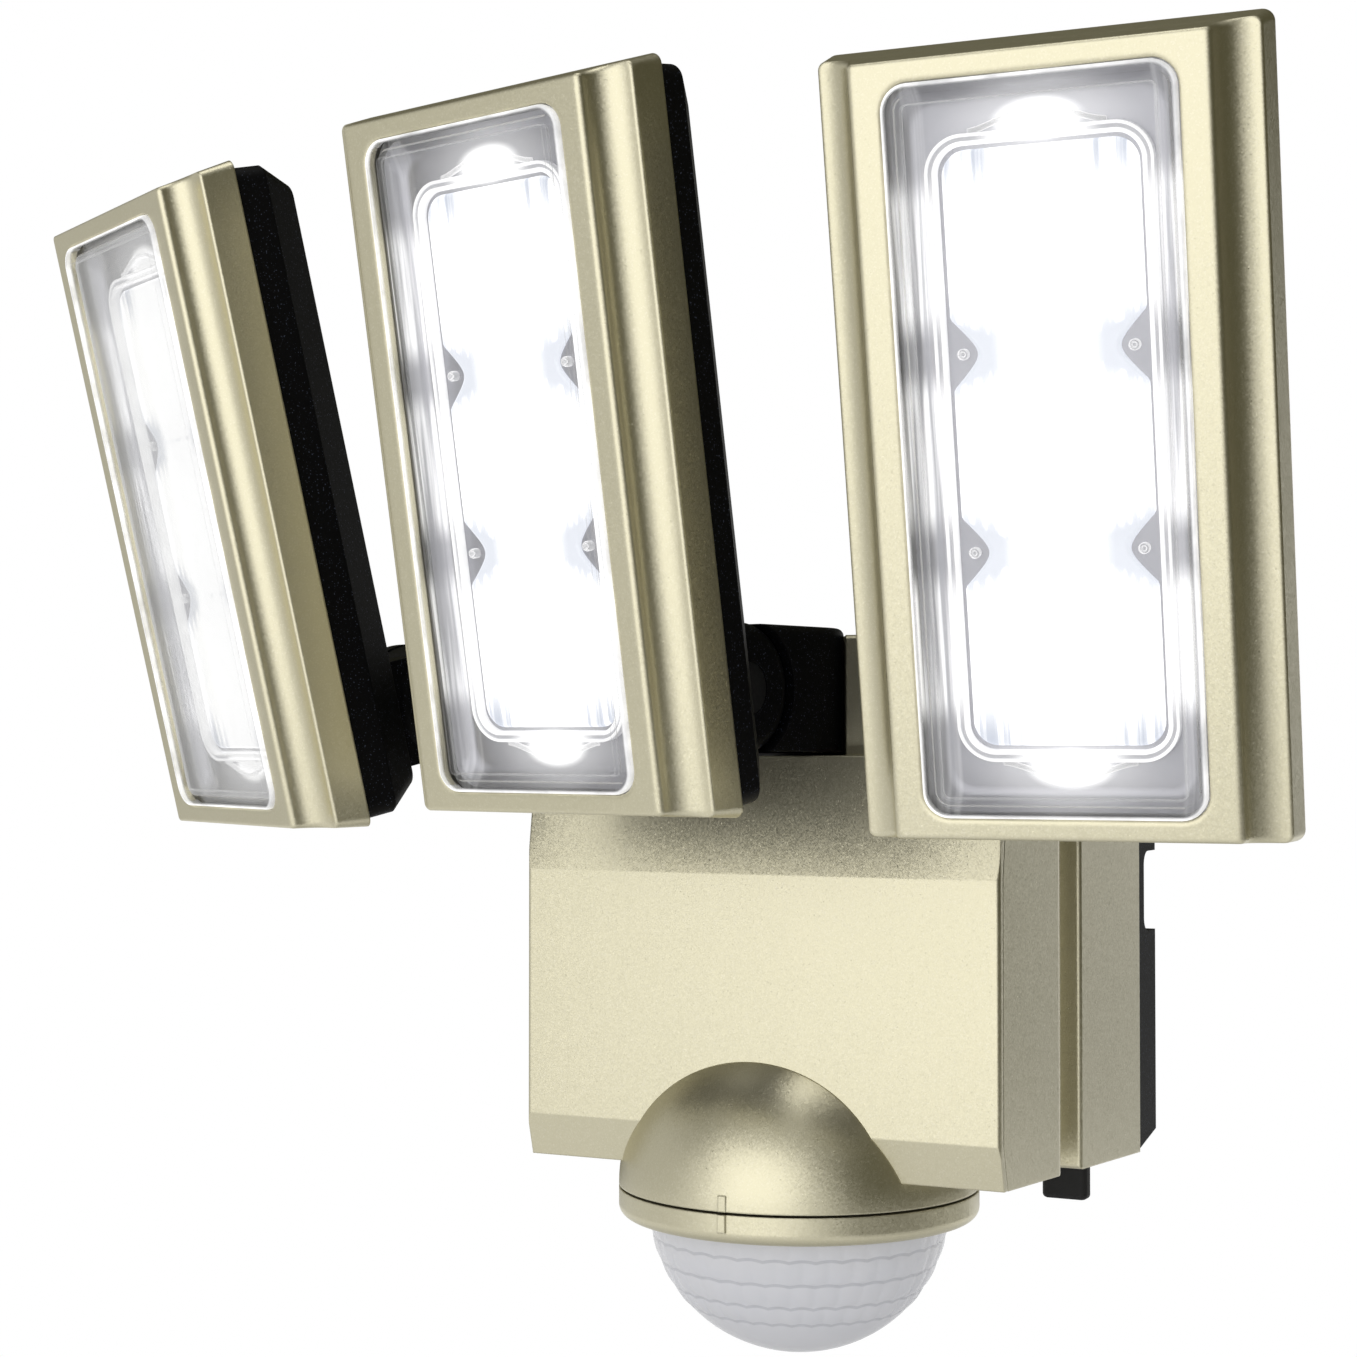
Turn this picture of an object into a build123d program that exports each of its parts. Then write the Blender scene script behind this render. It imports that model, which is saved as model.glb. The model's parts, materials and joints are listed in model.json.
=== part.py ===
from build123d import *
import os

# A wall light with a movement sensor: a box housing on a wall plate, a sensor with a dome lens under
# it, and three long lamp heads on arms. Each arm swings about an upright stem on the housing's deck,
# each head tilts on a bolt at its arm's end, and the sensor ring turns under its hood.
# Millimetres. X runs to the right of a person facing the wall, Y into the wall, Z up. The origin is
# the centre of the wall plate's rear face. A head is drawn in its own frame first: origin at the
# centre of its front face, X to the right, Y back from the face, Z up.

# ---- clearances and walls -----------------------------------------------------------------------
GAP = 0.3                  # between pieces that move past each other
FIT = 0.05                 # radial clearance of a shaft that turns in a hole
SEAT = 0.1                 # round a piece that drops into an opening of a piece fixed to it
WALL = 2.2                 # moulded walls

# ---- housing ------------------------------------------------------------------------------------
HOUSING_WIDTH = 100.0
FRONT_Y = -107.0           # flat middle band of the front
CREASE_TOP_Z = 19.5        # above this the front leans back
CREASE_LOW_Z = -29.5       # below this it leans back too
DECK_Z = 42.5              # the housing's top, which carries the arms
TOP_LEAN = 3.4             # how far back the front has gone at the deck
FOOT_Z = -38.0             # the front's lower edge
FOOT_LEAN = 2.4
BELLY_DROP = 5.8           # the underside falls this much on its way to the wall plate
FASCIA_THICK = 1.8
SEAM = 0.35                # open line between the fascia and the box behind it
LIP_TOP_Z = 33.0           # the fascia's inner lip ends below the arm nuts
MID_REAR_Y = -66.4
MID_ROUND = 5.5            # rounding of the box's rear edges, towards the groove
REAR_FRONT_Y = -57.1
NECK_INSET = 4.5           # depth of the groove between the two boxes
GASKET_THICK = 0.9
GASKET_WIDTH = 3.0
GASKET_INSET = 0.8
LIP_LENGTH = 4.0           # the fascia's lip, and its wall
LIP_WALL = 1.6
EDGE_SOFT = 0.8            # rounding of the boxes' front edges
PLATE_DEPTH = 14.7
PLATE_INSET = 0.6

# ---- wall plate ---------------------------------------------------------------------------------
PLATE_BACK = 3.0
PLATE_CHAMFER = 3.1
WALL_SCREW_SPACING = 66.7
WALL_SCREW_R = 2.6
NOTCH_LOW_Z = 3.5          # cable notch in each side of the plate
NOTCH_TOP_Z = 21.0
NOTCH_DEPTH = 8.8
NOTCH_REACH = 12.0
HOOK_WIDTH = 12.0
HOOK_LENGTH = 7.0
HOOK_DROP = 9.0            # the hook's arm and the rib's foot below the deck
HOOK_THICK = 2.0
HOOK_RISE = 3.0            # the hook's tip over its arm
RIB_THICK = 1.8
LUG_HALF = 6.0             # lug for the lock screw
LUG_LENGTH = 12.0
LUG_HEIGHT = 10.0
LUG_GAP = 1.2

# ---- tower and arms -----------------------------------------------------------------------------
PIVOT_Y = -95.0
ROOT_GAP = 0.5             # between a side arm's root and the tower
TOWER_TOP_Z = 66.1
TOWER_HALF = 19.5
TOWER_DEPTH = 36.0
MIDDLE_SWING = 24.0        # how far the tower's pocket lets the middle arm swing each way
ARM_HALF = 13.0            # half width of an arm and radius of its root
ARM_BOTTOM_Z = 43.3
ARM_TOP_Z = 67.5
ARM_ROUND = 1.5
TOWER_CORNER = 6.0
TOWER_ROUND = 1.2
ARM_CLEAR = 0.5            # between an arm's end and the knuckle's barrel
TONGUE_NECK = 8.0          # half height of the tongue where it leaves the arm
MIDDLE_REACH = 24.5        # from stem to tilt bolt, middle arm
SIDE_REACH = 25.0          # the same, forwards, for a side arm
SIDE_OUT = 42.0            # and outwards
SIDE_DROP = 1.7            # a side arm's end hangs this much lower
TILT_Z = 55.2
BAR_HALF = 10.0            # half thickness of a side arm's cross bar
STEM_R = 5.0
STEM_BORE_R = 2.6
STEM_LENGTH = 10.0
NUT_R = 6.4
NUT_THICK = 3.5
WASHER_R = 9.0

# ---- tilt knuckle -------------------------------------------------------------------------------
BARREL_R = 12.5
BARREL_HALF = 12.5
BARREL_ROUND = 3.0
TONGUE_HALF = 4.6
BOLT_R = 3.0
BOLT_HEAD_R = 5.0
BOLT_HEAD_THICK = 2.4
KNUCKLE_DEPTH = 48.0       # bolt behind the head's front face
KNUCKLE_BELOW = 47.5       # and below its centre
PAD_THICK = 3.0

# ---- rest pose: pan is positive to the right-hand rule about +Z, tilt is positive nose down ------
HEADS = {
    "left": {"side": -1, "pan": -29.9, "tilt": 13.2},
    "centre": {"side": 0, "pan": -13.5, "tilt": 9.9},
    "right": {"side": 1, "pan": 4.0, "tilt": 11.9},
}

# ---- lamp head, in its own frame ----------------------------------------------------------------
RIM_HALF_W = 35.8          # where bezel and back meet
WINDOW_H = 117.2
WINDOW_SIDE = 12.5         # from the window's edge to the head's side
WINDOW_END = 3.4           # and to its top and bottom
WINDOW_R = 4.5
EDGE_ROUND = 1.2           # convex edge of the front plate
PLATE_INSIDE = 7.3         # the front plate stops this far inside the head's side
WALL_INSIDE = 0.8          # front edge of the drafted side wall
COVE_Y = 6.1               # where the cove beside the plate ends, facing forward
WALL_ROUND = 0.6           # edge between the cove and the side wall
RIM_Y = 13.0
END_DRAFT = 2.7            # how much higher the head is at the rim than at its face
CORNER_R = 3.0
BEZEL_CORNER_R = 1.6       # upright corners of the bezel
BEZEL_STEP_Y = 8.2         # inside, the bezel narrows in front of this
BEZEL_INNER = 3.0          # width of the bezel's ledge behind the window's edge
BEZEL_END_WALL = 1.4       # top and bottom walls of the bezel beside the cover's flange
BACK_STRAIGHT_Y = 19.7
BACK_Y = 27.4
BACK_RIM_INSIDE = 1.2      # the bezel's rim stands out round the back's
BACK_INSIDE = 6.8          # the flat back is this much narrower on each side
BACK_LOWER = 4.7           # and lower at each end
COVER_PROUD = 0.7
COVER_THICK = 1.6
COVER_FLANGE = 1.8         # how far the cover's flange reaches behind the bezel
COVER_BAND = 3.3           # width of the thicker band round the cover's front
COVER_STEP = 0.5           # how much thinner the front is inside that band
TRAY_THICK = 1.2
TRAY_SLOPE = 2.8           # the tray's floor is this far inside the window's edge
TRAY_FLOOR_Y = 6.6
LED_COUNT = 3
LENS_MARGIN_X = 2.3        # floor of the tray seen beside the lens block
LENS_MARGIN_Z = 5.6        # and at its ends
LENS_R = 6.2
LENS_FRONT_Y = 5.8
LENS_RIDGE = 1.8           # width of the lens block's frame
LENS_RIDGE_Y = 4.8
LENS_WEB_Y = 7.0
LENS_BASE_Y = 8.2          # behind this the lens block is only its cups
LOBE_MARGIN = 2.5          # from the lens block's edge to its lobes
LOBE_R = 4.0
LOBE_NOTCH = 5.4           # depth of the notches between the lobes
CUP_FRONT_R = 14.4
CUP_REAR_R = 7.0
CUP_DEPTH = 7.4
LED_SIDE = 7.0
LED_THICK = 0.9
BOARD_MARGIN = 1.0         # the board is this much wider than the tray's floor, each side
BOARD_THICK = 1.6
SCREW_INSIDE = 10.2        # screws from the head's side
SCREW_END = 5.5            # and from its top and bottom
SCREW_R = 1.3
SCREW_HEAD_R = 2.6
SCREW_HEAD_THICK = 2.0
POST_R = 2.5

# ---- sensor -------------------------------------------------------------------------------------
SENSOR_Y = -85.0
HOOD_BEYOND = 3.0          # hood and ring reach this far beyond the dome's flange
HOOD_SQUASH = 2.6          # the hood is this much less high than its radius
HOOD_Z = -43.0             # the hood's lower rim
HOOD_WALL = 2.0
RING_GAP = 0.5
RING_HEIGHT = 5.6
RING_ROUND = 2.2
RING_PLATE = 1.6
DOME_R = 30.2
DOME_WALL = 1.0
DOME_FLANGE = 2.8
RING_LIP = 1.5
SENSOR_STEM_R = 9.0
SENSOR_BORE_R = 7.0
CLIP_R = 12.0
CLIP_ROOM = 3.0            # free space round the clip
STEM_ROOM = 20.0           # and above it
CLIP_THICK = 1.2
SENSOR_BOARD_INSIDE = 8.2  # the board's edge inside the dome
PIR_R = 4.6
PIR_HEIGHT = 4.2
TICK_WIDTH = 1.6
TICK_HEIGHT = 3.0
TICK_PROUD = 0.5

# ---- inside and under the housing ---------------------------------------------------------------
POWER_BOARD_INSIDE = 19.0  # the board's edge inside the housing's side
POWER_BOARD_H = 54.0
POWER_BOARD_GAP = 5.0
BOARD_INSET = 5.0          # the board's posts from its edges
TRANSFORMER = (22.0, 26.0, 13.0)       # width, height, depth
CAPACITOR_R = 5.0
CAPACITOR_LENGTH = 12.0
RELAY = (18.0, 14.0, 10.0)
TERMINALS = (26.0, 9.0, 8.0)
CASE_SCREW_INSIDE = 12.0
CASE_SCREW_Z = 27.0
CASE_SCREW_R = 1.5
CASE_BOSS_R = 4.0
CASE_BOSS_LENGTH = 7.0
CABLE_R = 6.0              # cable hole between the two boxes
CABLE_DROP = 6.0
GLAND_INSIDE = 14.0
GLAND_Y = -23.0
GLAND_W = 10.0
GLAND_D = 4.6
GLAND_DROP = 10.2
GLAND_WALL = 0.9
COLLAR = 2.0               # the gland's collar reaches this far round, and is this thick
LOCK_HEAD_R = 3.2
LOCK_HEAD_THICK = 1.8
LOCK_Y = -21.0

# ---- worked out ---------------------------------------------------------------------------------
HALF = HOUSING_WIDTH / 2
HOOK_X = HALF / 2
PIVOT_X = TOWER_HALF + ARM_HALF + ROOT_GAP      # the side stems, left and right of the middle one
CASE_SCREW_X = HALF - CASE_SCREW_INSIDE
POWER_BOARD_W = HOUSING_WIDTH - 2 * POWER_BOARD_INSIDE
GLAND_X = HALF - GLAND_INSIDE
PLATE_FRONT_Y = -PLATE_DEPTH
FOOT_Y = FRONT_Y + FOOT_LEAN
BRIM_Y = FRONT_Y + TOP_LEAN
BELLY_SLOPE = BELLY_DROP / (PLATE_FRONT_Y - FOOT_Y)
WINDOW_W = 2 * (RIM_HALF_W - WINDOW_SIDE)
FACE_HALF_W = RIM_HALF_W - PLATE_INSIDE
FACE_HALF_H = WINDOW_H / 2 + WINDOW_END
RIM_HALF_H = FACE_HALF_H + END_DRAFT
WALL_X = RIM_HALF_W - WALL_INSIDE
COVE_X = WALL_X - WALL_ROUND
BEZEL_INNER_HALF = WINDOW_W / 2 + BEZEL_INNER
BACK_RIM_HALF_W = RIM_HALF_W - BACK_RIM_INSIDE
BACK_RIM_HALF_H = RIM_HALF_H - BACK_RIM_INSIDE
BACK_HALF_W = RIM_HALF_W - BACK_INSIDE
BACK_HALF_H = RIM_HALF_H - BACK_LOWER
TRAY_FLOOR_W = WINDOW_W - 2 * TRAY_SLOPE
TRAY_FLOOR_H = WINDOW_H - 2 * TRAY_SLOPE
LENS_W = TRAY_FLOOR_W - 2 * LENS_MARGIN_X
LENS_H = TRAY_FLOOR_H - 2 * LENS_MARGIN_Z
LOBES_W = LENS_W - 2 * LOBE_MARGIN
LOBES_H = LENS_H - 2 * LOBE_MARGIN
LED_PITCH = LOBES_H / LED_COUNT
BOARD_W = TRAY_FLOOR_W + 2 * BOARD_MARGIN
BOARD_H = TRAY_FLOOR_H - BOARD_MARGIN
SCREW_X = RIM_HALF_W - SCREW_INSIDE
SCREW_Z = FACE_HALF_H - SCREW_END
DOME_FLANGE_R = DOME_R + DOME_FLANGE
HOOD_R = DOME_FLANGE_R + HOOD_BEYOND
HOOD_HEIGHT = HOOD_R - HOOD_SQUASH
SENSOR_BOARD_R = DOME_R - SENSOR_BOARD_INSIDE
RING_TOP_Z = HOOD_Z - RING_GAP
RING_BOTTOM_Z = RING_TOP_Z - RING_HEIGHT
LENS_REAR_Y = LENS_WEB_Y + CUP_DEPTH
BOARD_Y = LENS_REAR_Y + SEAT
DOME_Z = RING_TOP_Z - RING_PLATE - 1.2     # centre of the dome's sphere


def belly_z(y):
    """Height of the housing's underside at a depth y."""
    return FOOT_Z - (y - FOOT_Y) * BELLY_SLOPE


def block(x0, x1, y0, y1, z0, z1):
    """A box given by its limits."""
    centre = Pos((x0 + x1) / 2, (y0 + y1) / 2, (z0 + z1) / 2)
    return centre * Box(x1 - x0, y1 - y0, z1 - z0)


def prism_x(points, half):
    """A prism along X over an outline of (y, z) points."""
    outline = make_face(Polyline(*points, close=True))
    return extrude(Plane.YZ * outline, amount=half, both=True)


def panel(width, height, radius, y0, y1):
    """A plate facing -Y with rounded corners, from y0 back to y1."""
    outline = Plane.XZ * RectangleRounded(width, height, radius)
    return Pos(0, y1, 0) * extrude(outline, amount=y1 - y0)


def tapered_panel(front, rear, y0, y1):
    """A plate facing -Y whose (width, height, radius) goes from front to rear."""
    sections = [Pos(0, y, 0) * (Plane.XZ * RectangleRounded(*size))
                for y, size in ((y0, front), (y1, rear))]
    return loft(sections)


def rod_x(radius, x0, x1, y=0.0, z=0.0):
    """A cylinder along X."""
    return Pos((x0 + x1) / 2, y, z) * Rot(0, 90, 0) * Cylinder(radius, x1 - x0)


def rod_y(radius, y0, y1, x=0.0, z=0.0):
    """A cylinder along Y."""
    return Pos(x, (y0 + y1) / 2, z) * Rot(90, 0, 0) * Cylinder(radius, y1 - y0)


def rod_z(radius, z0, z1, x=0.0, y=0.0):
    """A cylinder along Z."""
    return Pos(x, y, (z0 + z1) / 2) * Cylinder(radius, z1 - z0)


def corners(dx, dz):
    """The four (x, z) corners of a rectangle of half sizes dx and dz."""
    return [(sx * dx, sz * dz) for sx in (-1, 1) for sz in (-1, 1)]


# ---- housing pieces -----------------------------------------------------------------------------

def front_points(back):
    """The front's outline from foot to brim, as (y, z), moved back by a distance."""
    bends = ((FOOT_Y, FOOT_Z), (FRONT_Y, CREASE_LOW_Z), (FRONT_Y, CREASE_TOP_Z), (BRIM_Y, DECK_Z))
    return [(y + back, z) for y, z in bends]


def body_outline(back, rear_y, inset=0.0):
    """Outline of the housing from its front, moved back, to rear_y, with walls moved in."""
    foot, low, high, brim = front_points(back)
    return [(foot[0], belly_z(foot[0]) + inset), low, high, (brim[0], DECK_Z - inset),
            (rear_y, DECK_Z - inset), (rear_y, belly_z(rear_y) + inset)]


def housing_envelope():
    """The closed form that the hood is cut against."""
    return prism_x(body_outline(0.0, PLATE_FRONT_Y), HALF)


def make_fascia():
    """Folded front plate with a lip that plugs into the box behind it."""
    skin = front_points(0.0) + front_points(FASCIA_THICK)[::-1]
    plate = prism_x(skin, HALF)
    plate = fillet(plate.edges().filter_by(Axis.Z).group_by(Axis.Y)[0], EDGE_SOFT)
    lip_rear = FASCIA_THICK + LIP_LENGTH
    inset = WALL + SEAT
    lip = prism_x(body_outline(FASCIA_THICK - 0.01, FRONT_Y + lip_rear, inset), HALF - inset)
    hollow = prism_x(body_outline(FASCIA_THICK, FRONT_Y + 2 * lip_rear, inset + LIP_WALL),
                     HALF - inset - LIP_WALL)
    lip = (lip - hollow) & block(-HALF, HALF, FRONT_Y, FRONT_Y + lip_rear, 2 * FOOT_Z, LIP_TOP_Z)
    return plate + lip


def make_mid_housing():
    """Front box: open to the fascia, rounded towards the groove, with the deck on top."""
    start = FASCIA_THICK + SEAM
    box = prism_x(body_outline(start, MID_REAR_Y), HALF)
    box = fillet(box.faces().sort_by(Axis.Y)[-1].edges(), MID_ROUND)
    box -= prism_x(body_outline(start - 2 * WALL, MID_REAR_Y - WALL, WALL), HALF - WALL)
    box += case_bosses()
    box -= stem_holes()
    box -= rod_y(CABLE_R, MID_REAR_Y - 2 * WALL, MID_REAR_Y + WALL, z=-CABLE_DROP)
    box -= rod_z(CLIP_R + CLIP_ROOM, HOOD_Z, HOOD_Z + STEM_ROOM, y=SENSOR_Y)
    for x, z in power_board_corners():
        box += rod_y(POST_R, MID_REAR_Y - WALL - POWER_BOARD_GAP, MID_REAR_Y - WALL, x, z)
    return box


def case_bosses():
    """Screw bosses on the inside of the front box's rear wall."""
    bosses = Part()
    front = MID_REAR_Y - WALL - CASE_BOSS_LENGTH
    for x, z in corners(CASE_SCREW_X, CASE_SCREW_Z):
        bosses += rod_y(CASE_BOSS_R, front, MID_REAR_Y - WALL, x, z)
    for x, z in corners(CASE_SCREW_X, CASE_SCREW_Z):
        bosses -= rod_y(CASE_SCREW_R, front + 1.5, MID_REAR_Y, x, z)
    return bosses


def stem_holes():
    """Round holes through the deck for the three arm stems, and the case screw holes."""
    holes = Part()
    for x in (-PIVOT_X, 0.0, PIVOT_X):
        holes += rod_z(STEM_R + FIT, DECK_Z - 2 * WALL, DECK_Z + WALL, x, PIVOT_Y)
    for x, z in corners(CASE_SCREW_X, CASE_SCREW_Z):
        holes += rod_y(CASE_SCREW_R, MID_REAR_Y - 2 * WALL, MID_REAR_Y + WALL, x, z)
    return holes


def neck_outline(front_y, rear_y, inset):
    """Outline of the neck in the groove, between two depths."""
    return [(front_y, belly_z(front_y) + inset), (front_y, DECK_Z - inset),
            (rear_y, DECK_Z - inset), (rear_y, belly_z(rear_y) + inset)]


def make_case_gasket():
    """Flat seal between the front box and the neck of the rear box."""
    front, rear = MID_REAR_Y, MID_REAR_Y + GASKET_THICK
    inset = NECK_INSET + GASKET_INSET
    room = inset + GASKET_WIDTH
    ring = prism_x(neck_outline(front, rear, inset), HALF - inset)
    inner = prism_x(neck_outline(front - 1, rear + 1, room), HALF - room)
    return ring - inner


def make_rear_housing():
    """Rear box: open to the wall plate, with a narrower neck that meets the front box."""
    neck_front = MID_REAR_Y + GASKET_THICK
    box = prism_x(neck_outline(REAR_FRONT_Y, PLATE_FRONT_Y, 0.0), HALF)
    box = fillet(box.faces().sort_by(Axis.Y)[0].edges(), EDGE_SOFT)
    box += prism_x(neck_outline(neck_front, REAR_FRONT_Y + 1, NECK_INSET), HALF - NECK_INSET)
    room = NECK_INSET + WALL
    box -= prism_x(neck_outline(REAR_FRONT_Y + WALL, 0.0, WALL), HALF - WALL)
    box -= prism_x(neck_outline(neck_front + WALL, REAR_FRONT_Y + 2 * WALL, room), HALF - room)
    for x, z in corners(CASE_SCREW_X, CASE_SCREW_Z):
        box -= rod_y(CASE_SCREW_R + 0.2, neck_front - 1, neck_front + 2 * WALL, x, z)
    box -= rod_y(CABLE_R, neck_front - 1, neck_front + 2 * WALL, z=-CABLE_DROP)
    box -= gland_plug(SEAT)
    box -= rod_z(CASE_SCREW_R + 0.2, belly_z(LOCK_Y) - 2, belly_z(LOCK_Y) + 2 * WALL, y=LOCK_Y)
    for x in (-HOOK_X, HOOK_X):
        box += hook_rib(x)
    return box


def hook_rib(x):
    """Rib under the rear box's top that hangs on one of the wall plate's hooks."""
    y = PLATE_FRONT_Y - HOOK_LENGTH
    return block(x - HOOK_WIDTH / 2, x + HOOK_WIDTH / 2, y - RIB_THICK, y - GAP,
                 DECK_Z - HOOK_DROP, DECK_Z - WALL)


def make_wall_plate():
    """Tray-shaped plate for the wall, with side notches, two hooks and a lug for the lock screw."""
    half = HALF - PLATE_INSET
    low = belly_z(PLATE_FRONT_Y)
    top = DECK_Z
    outline = [(0.0, low + PLATE_CHAMFER), (0.0, top), (PLATE_FRONT_Y, top), (PLATE_FRONT_Y, low)]
    tray = prism_x(outline, half)
    inner = [(-PLATE_BACK, low + PLATE_CHAMFER + WALL), (-PLATE_BACK, top - WALL),
             (PLATE_FRONT_Y - 1, top - WALL), (PLATE_FRONT_Y - 1, low + WALL + 1.0)]
    tray -= prism_x(inner, half - WALL)
    for side in (-1, 1):
        tray -= side_notch(side * half)
        tray -= rod_y(WALL_SCREW_R, -PLATE_BACK - 1, 1, side * WALL_SCREW_SPACING / 2)
        tray += plate_hook(side * HOOK_X)
    lug_top = low + LUG_HEIGHT
    lug = block(-LUG_HALF, LUG_HALF, PLATE_FRONT_Y - LUG_LENGTH, -PLATE_BACK,
                belly_z(LOCK_Y) + WALL + LUG_GAP, lug_top)
    lug -= rod_z(CASE_SCREW_R, low, lug_top + 1, y=LOCK_Y)
    return tray + lug


def side_notch(edge_x):
    """Cable notch let into the plate's side from behind, with a round inner corner."""
    notch = block(edge_x - NOTCH_REACH, edge_x + NOTCH_REACH, -NOTCH_DEPTH, 1.0,
                  NOTCH_LOW_Z, NOTCH_TOP_Z)
    return fillet(notch.edges().filter_by(Axis.X).group_by(Axis.Y)[0], 3.0)


def plate_hook(x):
    """Hook that reaches from the plate into the rear box, with an upturned tip."""
    left, right = x - HOOK_WIDTH / 2, x + HOOK_WIDTH / 2
    tip = PLATE_FRONT_Y - HOOK_LENGTH - RIB_THICK - 2 * GAP
    top = DECK_Z - HOOK_DROP - GAP
    arm = block(left, right, tip - HOOK_THICK, -PLATE_BACK, top - HOOK_THICK, top)
    return arm + block(left, right, tip - HOOK_THICK, tip, top - HOOK_THICK, top + HOOK_RISE)


def make_tower():
    """Block behind the middle arm, with a round pocket for the arm's root."""
    rear = PIVOT_Y + TOWER_DEPTH
    tower = block(-TOWER_HALF, TOWER_HALF, PIVOT_Y, rear, DECK_Z, TOWER_TOP_Z)
    tower = fillet(tower.edges().filter_by(Axis.Z).group_by(Axis.Y)[-1], TOWER_CORNER)
    tower = fillet(tower.faces().sort_by(Axis.Z)[-1].edges(), TOWER_ROUND)
    pocket_r = ARM_HALF + GAP
    tower -= rod_z(pocket_r, DECK_Z - 1, TOWER_TOP_Z + 1, y=PIVOT_Y)
    flare = block(-pocket_r, pocket_r, -2 * pocket_r, 0, DECK_Z - 1, TOWER_TOP_Z + 1)
    for turn in (-MIDDLE_SWING, MIDDLE_SWING):
        tower -= Pos(0, PIVOT_Y, 0) * Rot(0, 0, turn) * flare
    hollow_front = PIVOT_Y + ARM_HALF + GAP + WALL
    hollow = block(-TOWER_HALF + WALL, TOWER_HALF - WALL, hollow_front, rear - WALL - 1.5,
                   DECK_Z - 1, TOWER_TOP_Z - WALL)
    return tower - fillet(hollow.edges().filter_by(Axis.Z).group_by(Axis.Y)[-1], TOWER_CORNER - WALL)


def gland_plug(extra):
    """The flat plug of the cord gland, grown by a clearance."""
    top = belly_z(GLAND_Y) + WALL + 3.0
    size = RectangleRounded(GLAND_W + 2 * extra, GLAND_D + 2 * extra, 1.5)
    low = belly_z(GLAND_Y) - GLAND_DROP
    return Pos(GLAND_X, GLAND_Y, low) * extrude(size, amount=top - low)


def make_gland():
    """Rubber gland for the supply cord, flat in section, with a collar inside the housing."""
    gland = gland_plug(0.0)
    low = belly_z(GLAND_Y) - GLAND_DROP
    gland = fillet(gland.faces().sort_by(Axis.Z)[0].edges(), 1.0)
    collar_z = belly_z(GLAND_Y - GLAND_D) + WALL + SEAT
    collar = RectangleRounded(GLAND_W + 2 * COLLAR, GLAND_D + 2 * COLLAR, COLLAR)
    gland += Pos(GLAND_X, GLAND_Y, collar_z) * extrude(collar, amount=COLLAR)
    slot = SlotOverall(GLAND_W - 4 * GLAND_WALL, GLAND_D - 2 * GLAND_WALL)
    return gland - Pos(GLAND_X, GLAND_Y, low - 1) * extrude(slot, amount=2 * GLAND_DROP)


def make_case_screws():
    """Four screws that pull the rear box against the front box."""
    screws = []
    seat = MID_REAR_Y + GASKET_THICK + WALL
    for x, z in corners(CASE_SCREW_X, CASE_SCREW_Z):
        shank = rod_y(CASE_SCREW_R, MID_REAR_Y - WALL - CASE_BOSS_LENGTH + 2.5, seat, x, z)
        screws.append(shank + rod_y(2 * CASE_SCREW_R, seat, seat + 2.0, x, z))
    return Compound(children=screws)


def make_lock_screw():
    """Screw from below that locks the housing to the wall plate's lug."""
    under = belly_z(LOCK_Y) - 0.4
    shank = rod_z(CASE_SCREW_R, under, belly_z(PLATE_FRONT_Y) + 9.0, y=LOCK_Y)
    return shank + rod_z(LOCK_HEAD_R, under - LOCK_HEAD_THICK, under, y=LOCK_Y)


def power_board_corners():
    """Where the power board's posts stand."""
    return corners(POWER_BOARD_W / 2 - BOARD_INSET, POWER_BOARD_H / 2 - BOARD_INSET)


def make_power_board():
    """Mains board with its transformer, capacitor, relay and terminal block."""
    rear = MID_REAR_Y - WALL - POWER_BOARD_GAP
    front = rear - BOARD_THICK
    board = panel(POWER_BOARD_W, POWER_BOARD_H, 1.0, front, rear)
    left, low = -POWER_BOARD_W / 2 + BOARD_INSET, -POWER_BOARD_H / 2 + 1.0
    board += on_board(TRANSFORMER, left, low + TERMINALS[1] + 2.0, front)
    board += on_board(TERMINALS, left + BOARD_INSET, low, front)
    board += on_board(RELAY, POWER_BOARD_W / 2 - BOARD_INSET - RELAY[0], low + BOARD_INSET, front)
    return board + rod_y(CAPACITOR_R, front - CAPACITOR_LENGTH, front, POWER_BOARD_W / 4, CAPACITOR_LENGTH)


def on_board(size, left, low, front):
    """A (width, height, depth) component whose lower left corner is at (left, low) on the board."""
    width, height, depth = size
    return block(left, left + width, front - depth, front, low, low + height)


# ---- sensor pieces ------------------------------------------------------------------------------

def half_egg(radius, height):
    """Upper half of an egg standing on z = 0."""
    arc = EllipticalCenterArc((0, 0), radius, height, start_angle=0, arc_size=90)
    outline = make_face([arc, Line((0, height), (0, 0)), Line((0, 0), (radius, 0))])
    return revolve(Plane.XZ * outline, Axis.Z)


def tick(radius, z0, z1):
    """Raised alignment mark on the front of a round piece, standing a little proud."""
    return block(-TICK_WIDTH / 2, TICK_WIDTH / 2, -radius - TICK_PROUD, -radius + 1.5, z0, z1)


def make_hood():
    """Egg-shaped hood that swells out of the fascia and rings the sensor under the housing."""
    egg = half_egg(HOOD_R, HOOD_HEIGHT) - half_egg(HOOD_R - HOOD_WALL, HOOD_HEIGHT - HOOD_WALL)
    floor = Cylinder(HOOD_R - HOOD_WALL + 0.2, 1.8, align=(Align.CENTER, Align.CENTER, Align.MIN))
    egg += floor
    egg += tick(HOOD_R - 0.3, 0.0, TICK_HEIGHT)
    egg -= Cylinder(SENSOR_STEM_R + FIT, STEM_ROOM)
    hood = Pos(0, SENSOR_Y, HOOD_Z) * egg
    return hood - housing_envelope()


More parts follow.
